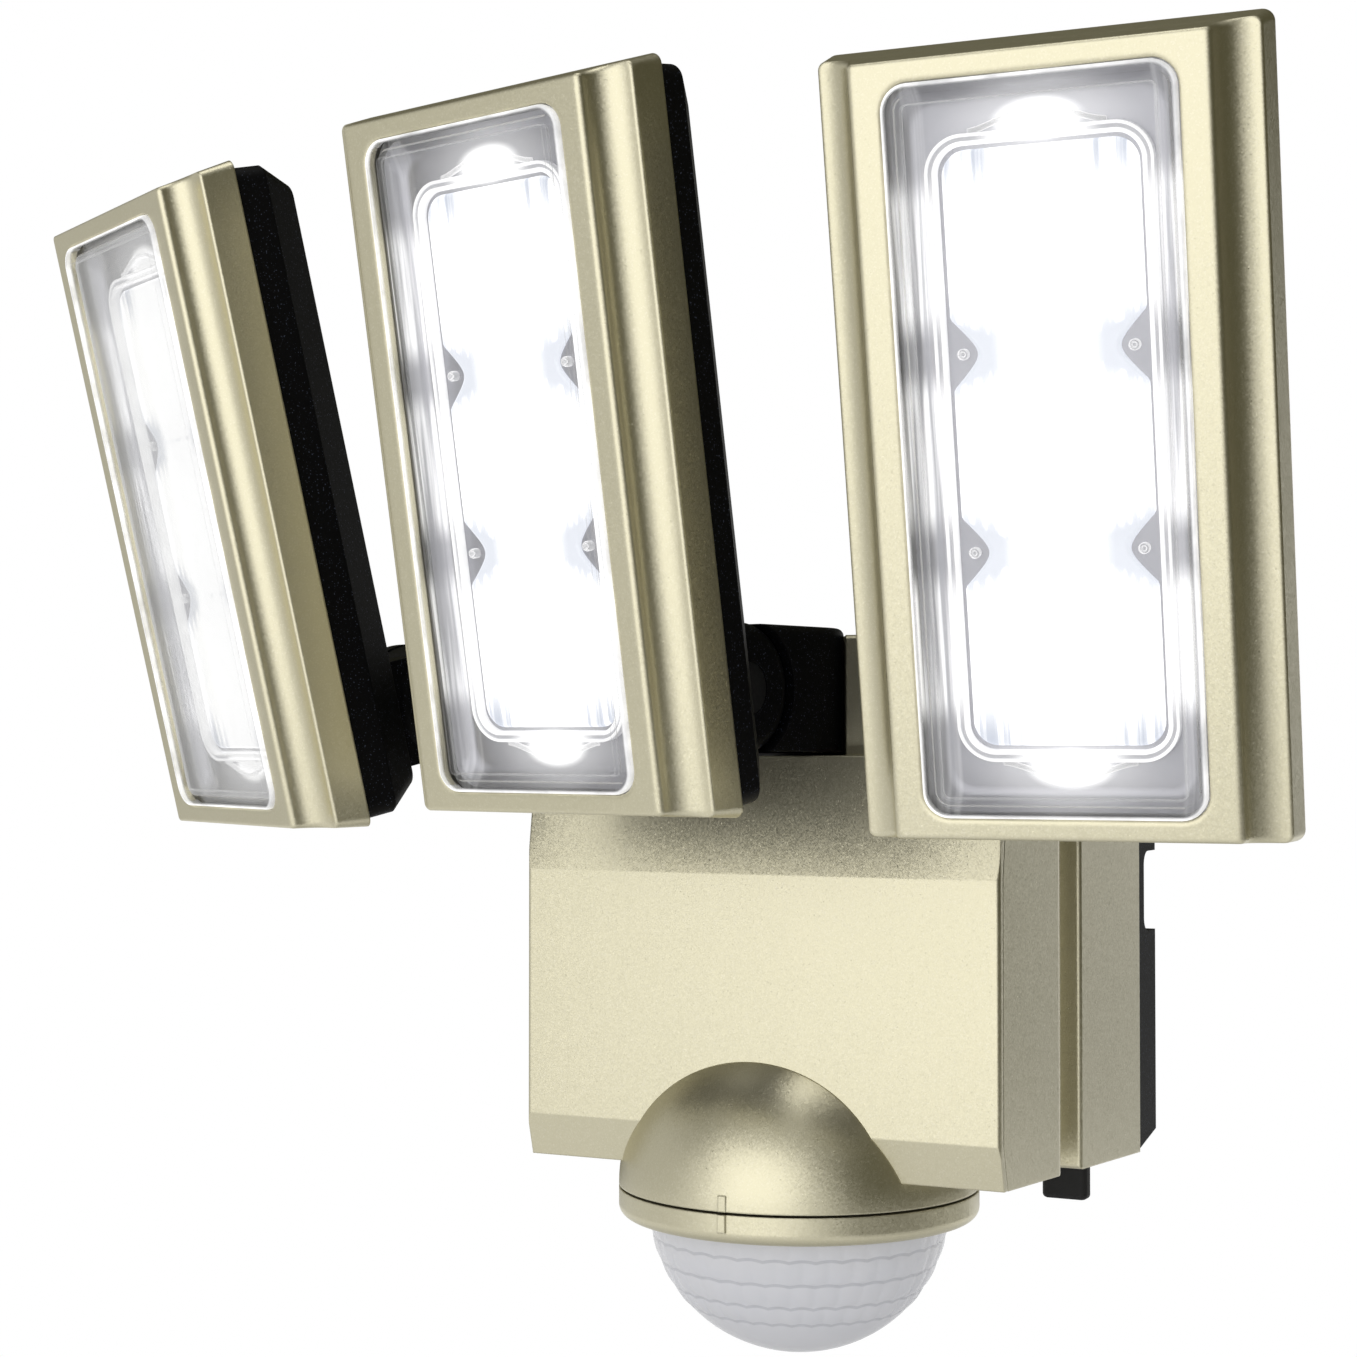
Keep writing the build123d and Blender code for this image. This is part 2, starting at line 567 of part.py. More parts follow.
def make_ring():
    """Ring that carries the dome lens, with its stem up through the hood's floor."""
    ring = Cylinder(HOOD_R, RING_HEIGHT, align=(Align.CENTER, Align.CENTER, Align.MAX))
    ring = fillet(ring.edges().sort_by(Axis.Z)[0], RING_ROUND)
    ring += tick(HOOD_R, -RING_HEIGHT + RING_ROUND, 0.0)
    room = RING_HEIGHT - RING_PLATE - RING_LIP
    ring -= Pos(0, 0, -RING_PLATE - room / 2) * Cylinder(DOME_FLANGE_R + SEAT, room)
    ring -= Pos(0, 0, -RING_HEIGHT) * Cylinder(DOME_R + SEAT, 2 * RING_LIP + 0.1)
    ring += Cylinder(SENSOR_STEM_R, 5.6, align=(Align.CENTER, Align.CENTER, Align.MIN))
    for turn in (0, 120, 240):
        post = Cylinder(1.6, 1.6, align=(Align.CENTER, Align.CENTER, Align.MAX))
        ring += Rot(0, 0, turn) * Pos(SENSOR_BOARD_R - 4.0, 0, -RING_PLATE) * post
    ring -= Cylinder(SENSOR_BORE_R, 2 * STEM_ROOM)
    return Pos(0, SENSOR_Y, RING_TOP_Z) * ring


def make_sensor_clip():
    """Spring clip on the ring's stem, above the hood's floor."""
    low = HOOD_Z + 1.8 + GAP
    clip = rod_z(CLIP_R, low, low + CLIP_THICK, y=SENSOR_Y)
    return clip - rod_z(SENSOR_STEM_R, low - 1, low + 2 * CLIP_THICK, y=SENSOR_Y)


def make_dome():
    """White dome lens, a hemisphere shell with a flange held in the ring."""
    lip_z = RING_BOTTOM_Z + RING_LIP
    top_z = RING_TOP_Z - RING_PLATE
    shell = Sphere(DOME_R) - Sphere(DOME_R - DOME_WALL)
    shell -= Pos(0, 0, DOME_R) * Box(4 * DOME_R, 4 * DOME_R, 2 * DOME_R)
    dome = Pos(0, SENSOR_Y, DOME_Z) * shell
    flange = rod_z(DOME_FLANGE_R, lip_z, top_z, y=SENSOR_Y)
    flange -= rod_z(DOME_R - DOME_WALL - 0.2, lip_z - 1, top_z + 1, y=SENSOR_Y)
    return dome + flange


def make_sensor_board():
    """Round board above the dome."""
    top = RING_TOP_Z - RING_PLATE - 1.6
    return rod_z(SENSOR_BOARD_R, top - BOARD_THICK, top, y=SENSOR_Y)


def make_pir():
    """Movement-sensing element: a metal can under the sensor board."""
    top = RING_TOP_Z - RING_PLATE - 1.6 - BOARD_THICK
    can = rod_z(PIR_R, top - PIR_HEIGHT, top, y=SENSOR_Y)
    can = fillet(can.edges().sort_by(Axis.Z)[0], 0.6)
    return can + rod_z(PIR_R + 0.5, top - 0.6, top, y=SENSOR_Y)


# ---- arms, in a frame at their stem: origin on the stem's axis at z = 0 ---------------------------

def tilt_axis(side):
    """The tilt bolt's centre in an arm's frame."""
    reach = SIDE_REACH if side else MIDDLE_REACH
    return (side * SIDE_OUT, -reach, TILT_Z - (SIDE_DROP if side else 0.0))


def arm_block(side):
    """The arm before its end is cut: root, cross bar for a side arm, and forward block."""
    x, y, z = tilt_axis(side)
    half_height = (ARM_TOP_Z - ARM_BOTTOM_Z) / 2
    low, top = z - half_height, z + half_height
    if side == 0:
        low, top = ARM_BOTTOM_Z, ARM_TOP_Z
    root = rod_z(ARM_HALF, ARM_BOTTOM_Z, ARM_TOP_Z)
    end = block(x - ARM_HALF, x + ARM_HALF, y, 0.0, low, top) + rod_z(ARM_HALF, low, top, x)
    bar = block(min(0, x), max(0, x), -BAR_HALF, BAR_HALF, ARM_BOTTOM_Z, top) if side else Part()
    return root + bar + end


def make_arm(side):
    """An arm with a hollow stem below its root and a tongue for the tilt bolt at its end."""
    x, y, z = tilt_axis(side)
    arm = arm_block(side)
    arm = fillet(arm.faces().sort_by(Axis.Z)[-1].edges(), ARM_ROUND)
    arm -= rod_x(BARREL_R + ARM_CLEAR, x - 2 * ARM_HALF, x + 2 * ARM_HALF, y, z)
    tongue = rod_x(BARREL_R - GAP, x - TONGUE_HALF, x + TONGUE_HALF, y, z)
    tongue += block(x - TONGUE_HALF, x + TONGUE_HALF, y, y + BARREL_R + 2 * ARM_ROUND,
                    z - TONGUE_NECK, z + TONGUE_NECK)
    arm += tongue
    arm -= rod_x(BOLT_R + FIT, x - ARM_HALF, x + ARM_HALF, y, z)
    arm += rod_z(STEM_R, ARM_BOTTOM_Z - STEM_LENGTH, ARM_BOTTOM_Z)
    return arm - rod_z(STEM_BORE_R, ARM_BOTTOM_Z - STEM_LENGTH - 1, ARM_BOTTOM_Z + 8.0)


def make_pan_washer():
    """Thin friction washer on the deck under an arm's root."""
    top = ARM_BOTTOM_Z - GAP
    return rod_z(WASHER_R, DECK_Z, top) - rod_z(STEM_R + GAP, DECK_Z - 1, top + 1)


def make_pan_nut():
    """Hexagon nut on an arm's stem, under the deck."""
    top = DECK_Z - WALL - GAP
    nut = Pos(0, 0, top - NUT_THICK) * extrude(RegularPolygon(NUT_R, 6), amount=NUT_THICK)
    return nut - rod_z(STEM_R, top - 2 * NUT_THICK, top + 1)


# ---- head pieces, in the head's own frame ---------------------------------------------------------

def quarter(start, end, hollow):
    """A quarter turn between two points that leaves the first along Y, or reaches the last so."""
    (x0, y0), (x1, y1) = start, end
    turn = 0.5 ** 0.5
    along_x, along_y = (1 - turn, turn) if hollow else (turn, 1 - turn)
    return ThreePointArc(start, (x0 + along_x * (x1 - x0), y0 + along_y * (y1 - y0)), end)


def bezel_edge(side):
    """One side of the bezel's outline: rounded plate edge, wide cove, rounded edge, drafted wall."""
    plate_end = (side * (FACE_HALF_W - EDGE_ROUND), 0.0)
    cove_start = (side * FACE_HALF_W, EDGE_ROUND)
    cove_end = (side * COVE_X, COVE_Y)
    wall_start = (side * WALL_X, COVE_Y + WALL_ROUND)
    wall_end = (side * RIM_HALF_W, RIM_Y)
    return [
        Line((0, 0), plate_end),
        quarter(plate_end, cove_start, False),
        quarter(cove_start, cove_end, True),
        quarter(cove_end, wall_start, False),
        Line(wall_start, wall_end),
        Line(wall_end, (0, RIM_Y)),
        Line((0, RIM_Y), (0, 0)),
    ]


def bezel_envelope():
    """The space between the bezel's drafted ends, with rounded upright corners."""
    face = (2 * WALL_X, 2 * FACE_HALF_H, BEZEL_CORNER_R)
    rim = (2 * RIM_HALF_W, 2 * RIM_HALF_H, BEZEL_CORNER_R)
    return tapered_panel(face, rim, 0.0, RIM_Y)


def make_bezel():
    """Front frame: a flat plate round the window, with wide coves at the sides."""
    outline = make_face(bezel_edge(1)) + make_face(bezel_edge(-1))
    frame = extrude(outline, amount=RIM_HALF_H + 5, both=True) & bezel_envelope()
    frame -= panel(2 * BEZEL_INNER_HALF, 2 * (FACE_HALF_H - BEZEL_END_WALL), 3.0,
                   WALL, BEZEL_STEP_Y + 0.5)
    frame -= panel(2 * (RIM_HALF_W - WALL - 0.6), 2 * (FACE_HALF_H - WALL + 1.4), 3.0,
                   BEZEL_STEP_Y, RIM_Y + 1)
    frame -= panel(WINDOW_W, WINDOW_H, WINDOW_R, -1.0, 2 * WALL)
    for x, z in corners(SCREW_X, SCREW_Z):
        frame += rod_y(SCREW_HEAD_R, BEZEL_STEP_Y - 0.7, RIM_Y, x, z)
        frame -= rod_y(SCREW_R, BEZEL_STEP_Y + 0.4, RIM_Y + 1, x, z)
    return frame


def make_cover():
    """Clear window: a shallow cup that stands a little proud, on a flange behind the bezel."""
    width, height, radius = WINDOW_W - 2 * SEAT, WINDOW_H - 2 * SEAT, WINDOW_R - SEAT
    flange_y = WALL + SEAT
    rear = flange_y + COVER_THICK
    cup = panel(width, height, radius, -COVER_PROUD, rear)
    cup = fillet(cup.faces().sort_by(Axis.Y)[0].edges(), 0.6)
    cup += panel(width + 2 * COVER_FLANGE, height + 2 * COVER_FLANGE, radius, flange_y, rear)
    inner, band = 2 * COVER_THICK, 2 * COVER_BAND
    behind = COVER_THICK - COVER_PROUD
    cup -= panel(width - inner, height - inner, radius - COVER_THICK, behind, rear + 1)
    return cup - panel(width - band, height - band, 1.0, behind - COVER_STEP, behind + 1)


def lens_outline(grow):
    """Outline of the lens block: a rounded rectangle, grown by a distance."""
    return Plane.XZ * RectangleRounded(LENS_W + 2 * grow, LENS_H + 2 * grow, LENS_R + grow)


def lobes_outline():
    """Outline of the three lobes: a rounded rectangle with a notch in each side between two lobes."""
    outline = RectangleRounded(LOBES_W, LOBES_H, LOBE_R)
    notch = Rot(0, 0, 45) * Rectangle(LOBE_NOTCH * 2 ** 0.5, LOBE_NOTCH * 2 ** 0.5)
    for x in (-LOBES_W / 2, LOBES_W / 2):
        for k in range(1, LED_COUNT):
            outline -= Pos(x, k * LED_PITCH - LOBES_H / 2) * notch
    return Plane.XZ * outline


def lens_layer(outline, y0, y1):
    """An outline in the head's front plane, drawn out from y0 back to y1."""
    return Pos(0, y1, 0) * extrude(outline, amount=y1 - y0)


def make_reflector():
    """Silver tray with sloping walls, and an opening in its floor for the lens block."""
    front_y = WALL + SEAT + COVER_THICK + SEAT
    mouth = (WINDOW_W - 1.2, WINDOW_H - 1.2, WINDOW_R)
    floor = (TRAY_FLOOR_W, TRAY_FLOOR_H, WINDOW_R)
    thick = 2 * TRAY_THICK
    tray = tapered_panel([s + thick for s in mouth[:2]] + [WINDOW_R + TRAY_THICK],
                         [s + thick for s in floor[:2]] + [WINDOW_R + TRAY_THICK],
                         front_y, TRAY_FLOOR_Y + TRAY_THICK)
    tray += panel(mouth[0] + 3.4, mouth[1] + 3.4, WINDOW_R + 1, front_y, front_y + TRAY_THICK)
    tray -= tapered_panel(mouth, floor, front_y, TRAY_FLOOR_Y)
    opening = Pos(0, TRAY_FLOOR_Y + 2 * TRAY_THICK, 0) * extrude(lens_outline(SEAT), amount=8.0)
    return tray - opening


def lens_centres():
    """Height of each light source and its lobe."""
    return [(k - (LED_COUNT - 1) / 2) * LED_PITCH for k in range(LED_COUNT)]


def make_lens():
    """Clear lens block: a framed web, three lobes before it and a collimating cup behind each."""
    block_ = lens_layer(lens_outline(0.0), LENS_RIDGE_Y, LENS_BASE_Y)
    block_ -= lens_layer(lens_outline(-LENS_RIDGE), LENS_RIDGE_Y - 1, LENS_WEB_Y)
    block_ += lens_layer(lobes_outline(), LENS_FRONT_Y, LENS_BASE_Y)
    for z in lens_centres():
        cup = Rot(90, 0, 0) * Cone(CUP_REAR_R, CUP_FRONT_R, CUP_DEPTH)
        block_ += Pos(0, LENS_REAR_Y - CUP_DEPTH / 2, z) * cup
    for z in lens_centres():
        block_ -= rod_y(LED_SIDE / 2 + 1.8, LENS_REAR_Y - LED_THICK - 0.6, LENS_REAR_Y + 1, 0, z)
    return block_


def make_leds():
    """The light sources, one behind each lens."""
    chips = []
    half = LED_SIDE / 2
    for z in lens_centres():
        chips.append(block(-half, half, BOARD_Y - LED_THICK, BOARD_Y, z - half, z + half))
    return Compound(children=chips)


def make_led_board():
    """Metal-core board that carries the light sources."""
    return panel(BOARD_W, BOARD_H, 2.0, BOARD_Y, BOARD_Y + BOARD_THICK)


def make_gasket():
    """Rubber seal between bezel and back."""
    outer_w, outer_h = RIM_HALF_W - WALL - 0.8, RIM_HALF_H - WALL - 1.8
    ring = panel(2 * outer_w, 2 * outer_h, 2.5, RIM_Y - 1.2, RIM_Y)
    return ring - panel(2 * outer_w - 3.0, 2 * outer_h - 3.0, 1.5, RIM_Y - 2, RIM_Y + 1)


def make_back():
    """Rear shell of a head: straight rim, then chamfered all round to a flat back."""
    shell = back_envelope()
    inner_rim = [2 * (BACK_RIM_HALF_W - WALL), 2 * (BACK_RIM_HALF_H - WALL), CORNER_R]
    inner_flat = [2 * (BACK_HALF_W - WALL), 2 * (BACK_HALF_H - WALL), CORNER_R]
    shell -= panel(*inner_rim, RIM_Y - 1, BACK_STRAIGHT_Y)
    shell -= tapered_panel(inner_rim, inner_flat, BACK_STRAIGHT_Y, BACK_Y - WALL)
    flange = panel(*inner_rim, RIM_Y, RIM_Y + 1.5)
    opening = [inner_rim[0] - 5.6, inner_rim[1] - 5.6, CORNER_R]
    shell += flange - panel(*opening, RIM_Y - 1, RIM_Y + 2)
    for x, z in corners(SCREW_X, SCREW_Z):
        column = rod_y(SCREW_HEAD_R + 1.4, RIM_Y, BACK_Y, x, z)
        shell += column & back_envelope()
        shell -= rod_y(SCREW_R + 0.2, RIM_Y - 1, BACK_Y + 1, x, z)
        shell -= rod_y(SCREW_HEAD_R + 0.3, BACK_Y - SCREW_HEAD_THICK - 1, BACK_Y + 1, x, z)
    for x, z in corners(BOARD_W / 2 - 4.0, BOARD_H / 2 - 5.0):
        shell += rod_y(POST_R, BOARD_Y + BOARD_THICK, BACK_Y - WALL / 2, x, z)
    return shell


def back_envelope():
    """The back shell's outer form, closed."""
    rim = [2 * BACK_RIM_HALF_W, 2 * BACK_RIM_HALF_H, CORNER_R]
    flat = [2 * BACK_HALF_W, 2 * BACK_HALF_H, CORNER_R]
    return panel(*rim, RIM_Y, BACK_STRAIGHT_Y) + tapered_panel(rim, flat, BACK_STRAIGHT_Y, BACK_Y)


def make_head_screws():
    """Four screws from behind that close a head."""
    screws = []
    seat = BACK_Y - SCREW_HEAD_THICK - 1
    for x, z in corners(SCREW_X, SCREW_Z):
        shank = rod_y(SCREW_R, BEZEL_STEP_Y + 0.6, seat, x, z)
        screws.append(shank + rod_y(SCREW_HEAD_R, seat, seat + SCREW_HEAD_THICK, x, z))
    return Compound(children=screws)


def make_knuckle():
    """Tilt knuckle: a pad on the head's back, a neck, and two ears round the arm's tongue."""
    y, z = KNUCKLE_DEPTH, -KNUCKLE_BELOW
    barrel = rod_x(BARREL_R, -BARREL_HALF, BARREL_HALF, y, z)
    barrel = fillet(barrel.edges(), BARREL_ROUND)
    neck = block(-BARREL_HALF + 1, BARREL_HALF - 1, BACK_Y, y, z - BARREL_R + 1.5, z + BARREL_R - 1.5)
    pad_low = max(z - BARREL_R - 1, -BACK_HALF_H + 1)
    pad = block(-BARREL_HALF - 3, BARREL_HALF + 3, BACK_Y, BACK_Y + PAD_THICK, pad_low,
                z + BARREL_R + 4)
    pad = fillet(pad.edges().filter_by(Axis.Y), 3.0)
    knuckle = barrel + neck + pad
    slot = TONGUE_HALF + GAP
    knuckle -= rod_x(BARREL_R + GAP, -slot, slot, y, z)
    knuckle -= block(-slot, slot, y, y + 2 * BARREL_R, z - BARREL_R, z + BARREL_R)
    knuckle -= rod_x(BOLT_R, -BARREL_HALF - 1, BARREL_HALF + 1, y, z)
    for side in (-1, 1):
        mouth = sorted((side * (BARREL_HALF - BOLT_HEAD_THICK), side * (BARREL_HALF + 1)))
        knuckle -= rod_x(BOLT_HEAD_R + SEAT, *mouth, y, z)
    return knuckle


def make_tilt_bolt():
    """Bolt and nut of the tilt joint, sunk into the ears."""
    y, z = KNUCKLE_DEPTH, -KNUCKLE_BELOW
    seat = BARREL_HALF - BOLT_HEAD_THICK
    bolt = rod_x(BOLT_R, -seat, seat, y, z)
    for side in (-1, 1):
        head = sorted((side * seat, side * (BARREL_HALF - 0.3)))
        bolt += rod_x(BOLT_HEAD_R, *head, y, z)
    return bolt


# ---- placing and writing --------------------------------------------------------------------------

def arm_place(name):
    """From an arm's frame to the light's, at the rest pose."""
    head = HEADS[name]
    return Pos(head["side"] * PIVOT_X, PIVOT_Y, 0) * Rot(0, 0, head["pan"])


def head_place(name):
    """From a head's frame to the light's, at the rest pose."""
    head = HEADS[name]
    hinge = Pos(*tilt_axis(head["side"])) * Rot(head["tilt"], 0, 0)
    return arm_place(name) * hinge * Pos(0, -KNUCKLE_DEPTH, KNUCKLE_BELOW)


def housing_parts():
    """Every piece of the housing and the sensor."""
    return {
        "wall_plate": make_wall_plate(),
        "rear_housing": make_rear_housing(),
        "case_gasket": make_case_gasket(),
        "mid_housing": make_mid_housing(),
        "front_fascia": make_fascia(),
        "arm_tower": make_tower(),
        "power_board": make_power_board(),
        "case_screws": make_case_screws(),
        "lock_screw": make_lock_screw(),
        "cord_gland": make_gland(),
        "sensor_hood": make_hood(),
        "sensor_ring": make_ring(),
        "sensor_clip": make_sensor_clip(),
        "sensor_board": make_sensor_board(),
        "pir_element": make_pir(),
        "dome_lens": make_dome(),
    }


def head_parts():
    """Every piece of one head, in the head's frame."""
    return {
        "bezel": make_bezel(),
        "cover": make_cover(),
        "reflector": make_reflector(),
        "lens": make_lens(),
        "leds": make_leds(),
        "led_board": make_led_board(),
        "gasket": make_gasket(),
        "back": make_back(),
        "screws": make_head_screws(),
        "knuckle": make_knuckle(),
        "tilt_bolt": make_tilt_bolt(),
    }


def arm_parts(side):
    """An arm with its washer and nut, in the arm's frame."""
    return {"arm": make_arm(side), "pan_washer": make_pan_washer(), "pan_nut": make_pan_nut()}


def all_parts():
    """Every node's name and its shape in the light's frame."""
    parts = housing_parts()
    pieces = head_parts()
    for name, head in HEADS.items():
        for piece, shape in pieces.items():
            parts[f"{name}_{piece}"] = head_place(name) * shape
        for piece, shape in arm_parts(head["side"]).items():
            parts[f"{name}_{piece}"] = arm_place(name) * shape
    return parts


os.makedirs("parts", exist_ok=True)
for node, shape in all_parts().items():
    export_step(shape, f"parts/{node}.step")
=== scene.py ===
import json
from functools import reduce
from math import cos, pi, radians, sin

import bmesh
import bpy
import numpy as np
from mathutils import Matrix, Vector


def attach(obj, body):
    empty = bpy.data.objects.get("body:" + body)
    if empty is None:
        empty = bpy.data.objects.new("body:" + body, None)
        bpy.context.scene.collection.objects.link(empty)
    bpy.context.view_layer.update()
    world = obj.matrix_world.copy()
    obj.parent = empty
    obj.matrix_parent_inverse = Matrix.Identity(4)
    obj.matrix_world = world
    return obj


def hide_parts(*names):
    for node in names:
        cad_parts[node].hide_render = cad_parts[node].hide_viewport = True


# A wall light with a movement sensor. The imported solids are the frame; the lamp heads' shells,
# covers, reflectors and lenses and the sensor's dome are made again here as finer surfaces on the
# same places. Lengths are millimetres until a mesh is written, which is in metres.

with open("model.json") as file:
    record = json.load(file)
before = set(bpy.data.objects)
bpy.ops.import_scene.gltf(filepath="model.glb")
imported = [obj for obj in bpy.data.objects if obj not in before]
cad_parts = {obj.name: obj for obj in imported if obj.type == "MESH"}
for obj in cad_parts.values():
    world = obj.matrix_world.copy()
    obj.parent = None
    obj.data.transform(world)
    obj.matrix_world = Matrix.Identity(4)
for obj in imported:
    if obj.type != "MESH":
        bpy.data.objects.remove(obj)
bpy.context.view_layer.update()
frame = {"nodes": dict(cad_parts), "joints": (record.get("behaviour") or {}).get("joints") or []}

MM = 0.001
PER_M = 1000.0                         # millimetres in a metre, for the shaders' coordinates
SIDES = ("left", "centre", "right")
PAN = {"left": -29.9, "centre": -13.5, "right": 4.0}       # degrees about Z at rest
TILT = {"left": 13.2, "centre": 9.9, "right": 11.9}        # degrees nose down at rest
KNUCKLE = np.array((0.0, 48.0, -47.5))                     # tilt bolt in a head's own frame

# ---- a lamp head in its own frame: origin at the middle of its face, X right, Y back, Z up ------
# A size in brackets of three is a rectangle's width, height and corner radius.
PLATE_HALF_W = 28.5
FACE_HALF_H = 62.0
PLATE_ROUND = 1.2
END_ROUND = 0.5
COVE_END = (34.4, 6.1)                 # where the cove beside the plate ends, facing forward
WALL_START = (35.0, 6.7)
RIM = (35.8, 13.0)
DRAFT = 2.7 / RIM[1]
HOLLOW = (66.0, 122.4, 3.0)            # inside the rim, as far forward as HOLLOW_Y
HOLLOW_Y = 8.2
STEP = (52.6, 121.2, 3.0)              # inside that, as far forward as STEP_Y
STEP_Y = 2.2
WINDOW = (46.6, 117.2, 4.5)
WINDOW_ROUND = 0.4

COVER = (46.2, 116.8, 4.3)
COVER_PROUD = 0.7
COVER_ROUND = 0.6
COVER_BAND = 3.3                       # width of the thicker band along the front's edge
THIN_Y, THICK_Y = 0.4, 0.9             # back of the front inside the band and in it
FLANGE = 1.8
FLANGE_Y = (2.3, 3.9)
COVER_WALL = 1.6

TRAY_MOUTH = (45.4, 116.0, 4.5)
TRAY_FLOOR = (41.0, 111.6, 4.5)
TRAY_Y = 4.0
TRAY_FLOOR_Y = 6.6
TRAY_LIP = 1.7
TRAY_WALL = 1.2
TRAY_ROUND = 0.15

LENS_FRAME = (36.4, 100.4, 6.2)
FRAME_Y = 4.8
LOBES = (31.4, 95.4, 4.0)
LOBES_Y = 5.8
LOBE_ROUND = 0.8
WEB_Y = 7.0
BASE_Y = WEB_Y + 0.6
LOBE_PITCH = 31.8
NOTCH = 5.8                            # depth the notches between the lobes would have if pointed
NOTCH_BLUNT = 1.6
NOTCH_INSET = 0.41                     # share of an inset that a slope of 45 degrees adds to it
# Section of the lens frame from outside in: depth, and growth over LENS_FRAME.
FRAME_PROFILE = ((BASE_Y, 0.0), (5.2, 0.0), (4.9, -0.1), (FRAME_Y, -0.3), (4.9, -0.5),
                 (5.8, -0.65), (5.8, -1.15), (4.9, -1.3), (FRAME_Y, -1.5), (4.9, -1.7),
                 (5.2, -1.85), (WEB_Y, -1.9))
# Section of a notch's pin from its foot: radius and depth.
PIN_PROFILE = ((0.9, WEB_Y + 0.3), (0.9, 5.5), (0.8, 5.2), (0.6, 5.1), (0.45, 5.3), (0.3, 5.8),
               (0.05, 5.9))
PIN_INSET = 2.0
TAB_HALF_W = 11.0
TAB_Y = 6.0
TAB_GAP = 0.2
TAB_RISE = 2.6
TAB_HALF_H = 0.5
TAB_THICK = (0.15, 0.45)               # half thickness at the ends, and what the middle adds

# ---- sensor -------------------------------------------------------------------------------------
SENSOR_Y = -85.0
DOME_R = 30.2
DOME_Z = -46.3
DOME_WALL = 1.2
DOME_ROWS = np.radians((0.0, 13.0, 22.8, 33.1, 42.3, 89.0))    # edges of its rows, below the rim
DOME_FACETS = 36
FACET_SWELL = 0.40


# ---- surfaces -----------------------------------------------------------------------------------

def grid_faces(rows, columns):
    """Corner numbers of a grid's faces, with each row's last point joined to its first."""
    i, j = np.meshgrid(np.arange(rows - 1), np.arange(columns), indexing="ij")
    k = (j + 1) % columns
    corners = (i * columns + j, i * columns + k, (i + 1) * columns + k, (i + 1) * columns + j)
    return np.stack(corners, axis=-1).reshape(-1, 4)


class Shell:
    """Grids of points, in millimetres, that are joined to one surface."""

    def __init__(self):
        self.points = []
        self.faces = []
        self.count = 0

    def grid(self, points, caps=()):
        """Adds rings of points (rows, columns, 3); caps names rows closed with a flat face."""
        points = np.asarray(points, float)
        rows, columns = points.shape[:2]
        self.faces += (grid_faces(rows, columns) + self.count).tolist()
        for row in caps:
            start = self.count + (row % rows) * columns
            self.faces.append(list(range(start, start + columns)))
        self.points.append(points.reshape(-1, 3))
        self.count += rows * columns
        return self


def head_place(name):
    """Turn and shift, in metres, from a head's own frame to the light's."""
    pan, tilt = radians(PAN[name]), radians(TILT[name])
    about_z = np.array(((cos(pan), -sin(pan), 0), (sin(pan), cos(pan), 0), (0, 0, 1)))
    about_x = np.array(((1, 0, 0), (0, cos(tilt), -sin(tilt)), (0, sin(tilt), cos(tilt))))
    hinge = next(joint["pos_m"] for joint in frame["joints"] if joint["name"] == name + "_tilt")
    turn = about_z @ about_x
    return turn, np.array(hinge) - turn @ KNUCKLE * MM


HERE = (np.eye(3), np.zeros(3))
WELD = 0.002                           # points of a shell that lie this close are one


def make_piece(name, shell, finish, body, nodes, place=HERE, sharp=35.0):
    """Joins a shell to one mesh with UV maps of its own X and Z and of its Y, puts it in place,
    dresses it and lets it stand for the solids of some nodes."""
    mesh = bpy.data.meshes.new(name)
    mesh.from_pydata(np.concatenate(shell.points), [], shell.faces)
    joined = bmesh.new()
    joined.from_mesh(mesh)
    bmesh.ops.remove_doubles(joined, verts=joined.verts, dist=WELD)
    bmesh.ops.recalc_face_normals(joined, faces=joined.faces)
    joined.to_mesh(mesh)
    joined.free()
    points = np.empty(len(mesh.vertices) * 3)
    mesh.vertices.foreach_get("co", points)
    points = points.reshape(-1, 3)
    corner = np.empty(len(mesh.loops), int)
    mesh.loops.foreach_get("vertex_index", corner)
    for layer, axes in (("own_mm", (0, 2)), ("deep_mm", (1, 1))):
        mesh.uv_layers.new(name=layer).data.foreach_set("uv", points[corner][:, axes].ravel())
    turn, shift = place
    mesh.vertices.foreach_set("co", (points * MM @ turn.T + shift).ravel())
    mesh.shade_smooth()
    mesh.set_sharp_from_angle(angle=radians(sharp))
    mesh.materials.append(finish)
    piece = bpy.data.objects.new(name, mesh)
    bpy.context.scene.collection.objects.link(piece)
    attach(piece, body)
    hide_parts(*nodes)
    return piece


def rounded(size, y, grow=0.0, steps=8):
    """Points round a rectangle at depth y: a quarter circle at each corner."""
    half_w, half_h = size[0] / 2 + grow, size[1] / 2 + grow
    radius = max(size[2] + grow, 0.0)
    turn = np.linspace(0, pi / 2, steps + 1)
    signs = ((1, 1), (-1, 1), (-1, -1), (1, -1))
    quarters = [(turn + k * pi / 2, sx, sz) for k, (sx, sz) in enumerate(signs)]
    x = np.concatenate([sx * (half_w - radius) + radius * np.cos(a) for a, sx, sz in quarters])
    z = np.concatenate([sz * (half_h - radius) + radius * np.sin(a) for a, sx, sz in quarters])
    return np.stack((x, np.full_like(x, y), z), axis=-1)


def quarter(start, end, hollow, steps=8):
    """Points of a quarter ellipse between two (x, y) points: a hollow one leaves the first point
    along Y, any other along X."""
    turn = np.linspace(0, pi / 2, steps + 1)
    early, late = np.sin(turn), 1 - np.cos(turn)
    x, y = (late, early) if hollow else (early, late)
    return np.stack((start[0] + x * (end[0] - start[0]),
                     start[1] + y * (end[1] - start[1])), axis=-1)


# ---- lamp head ----------------------------------------------------------------------------------

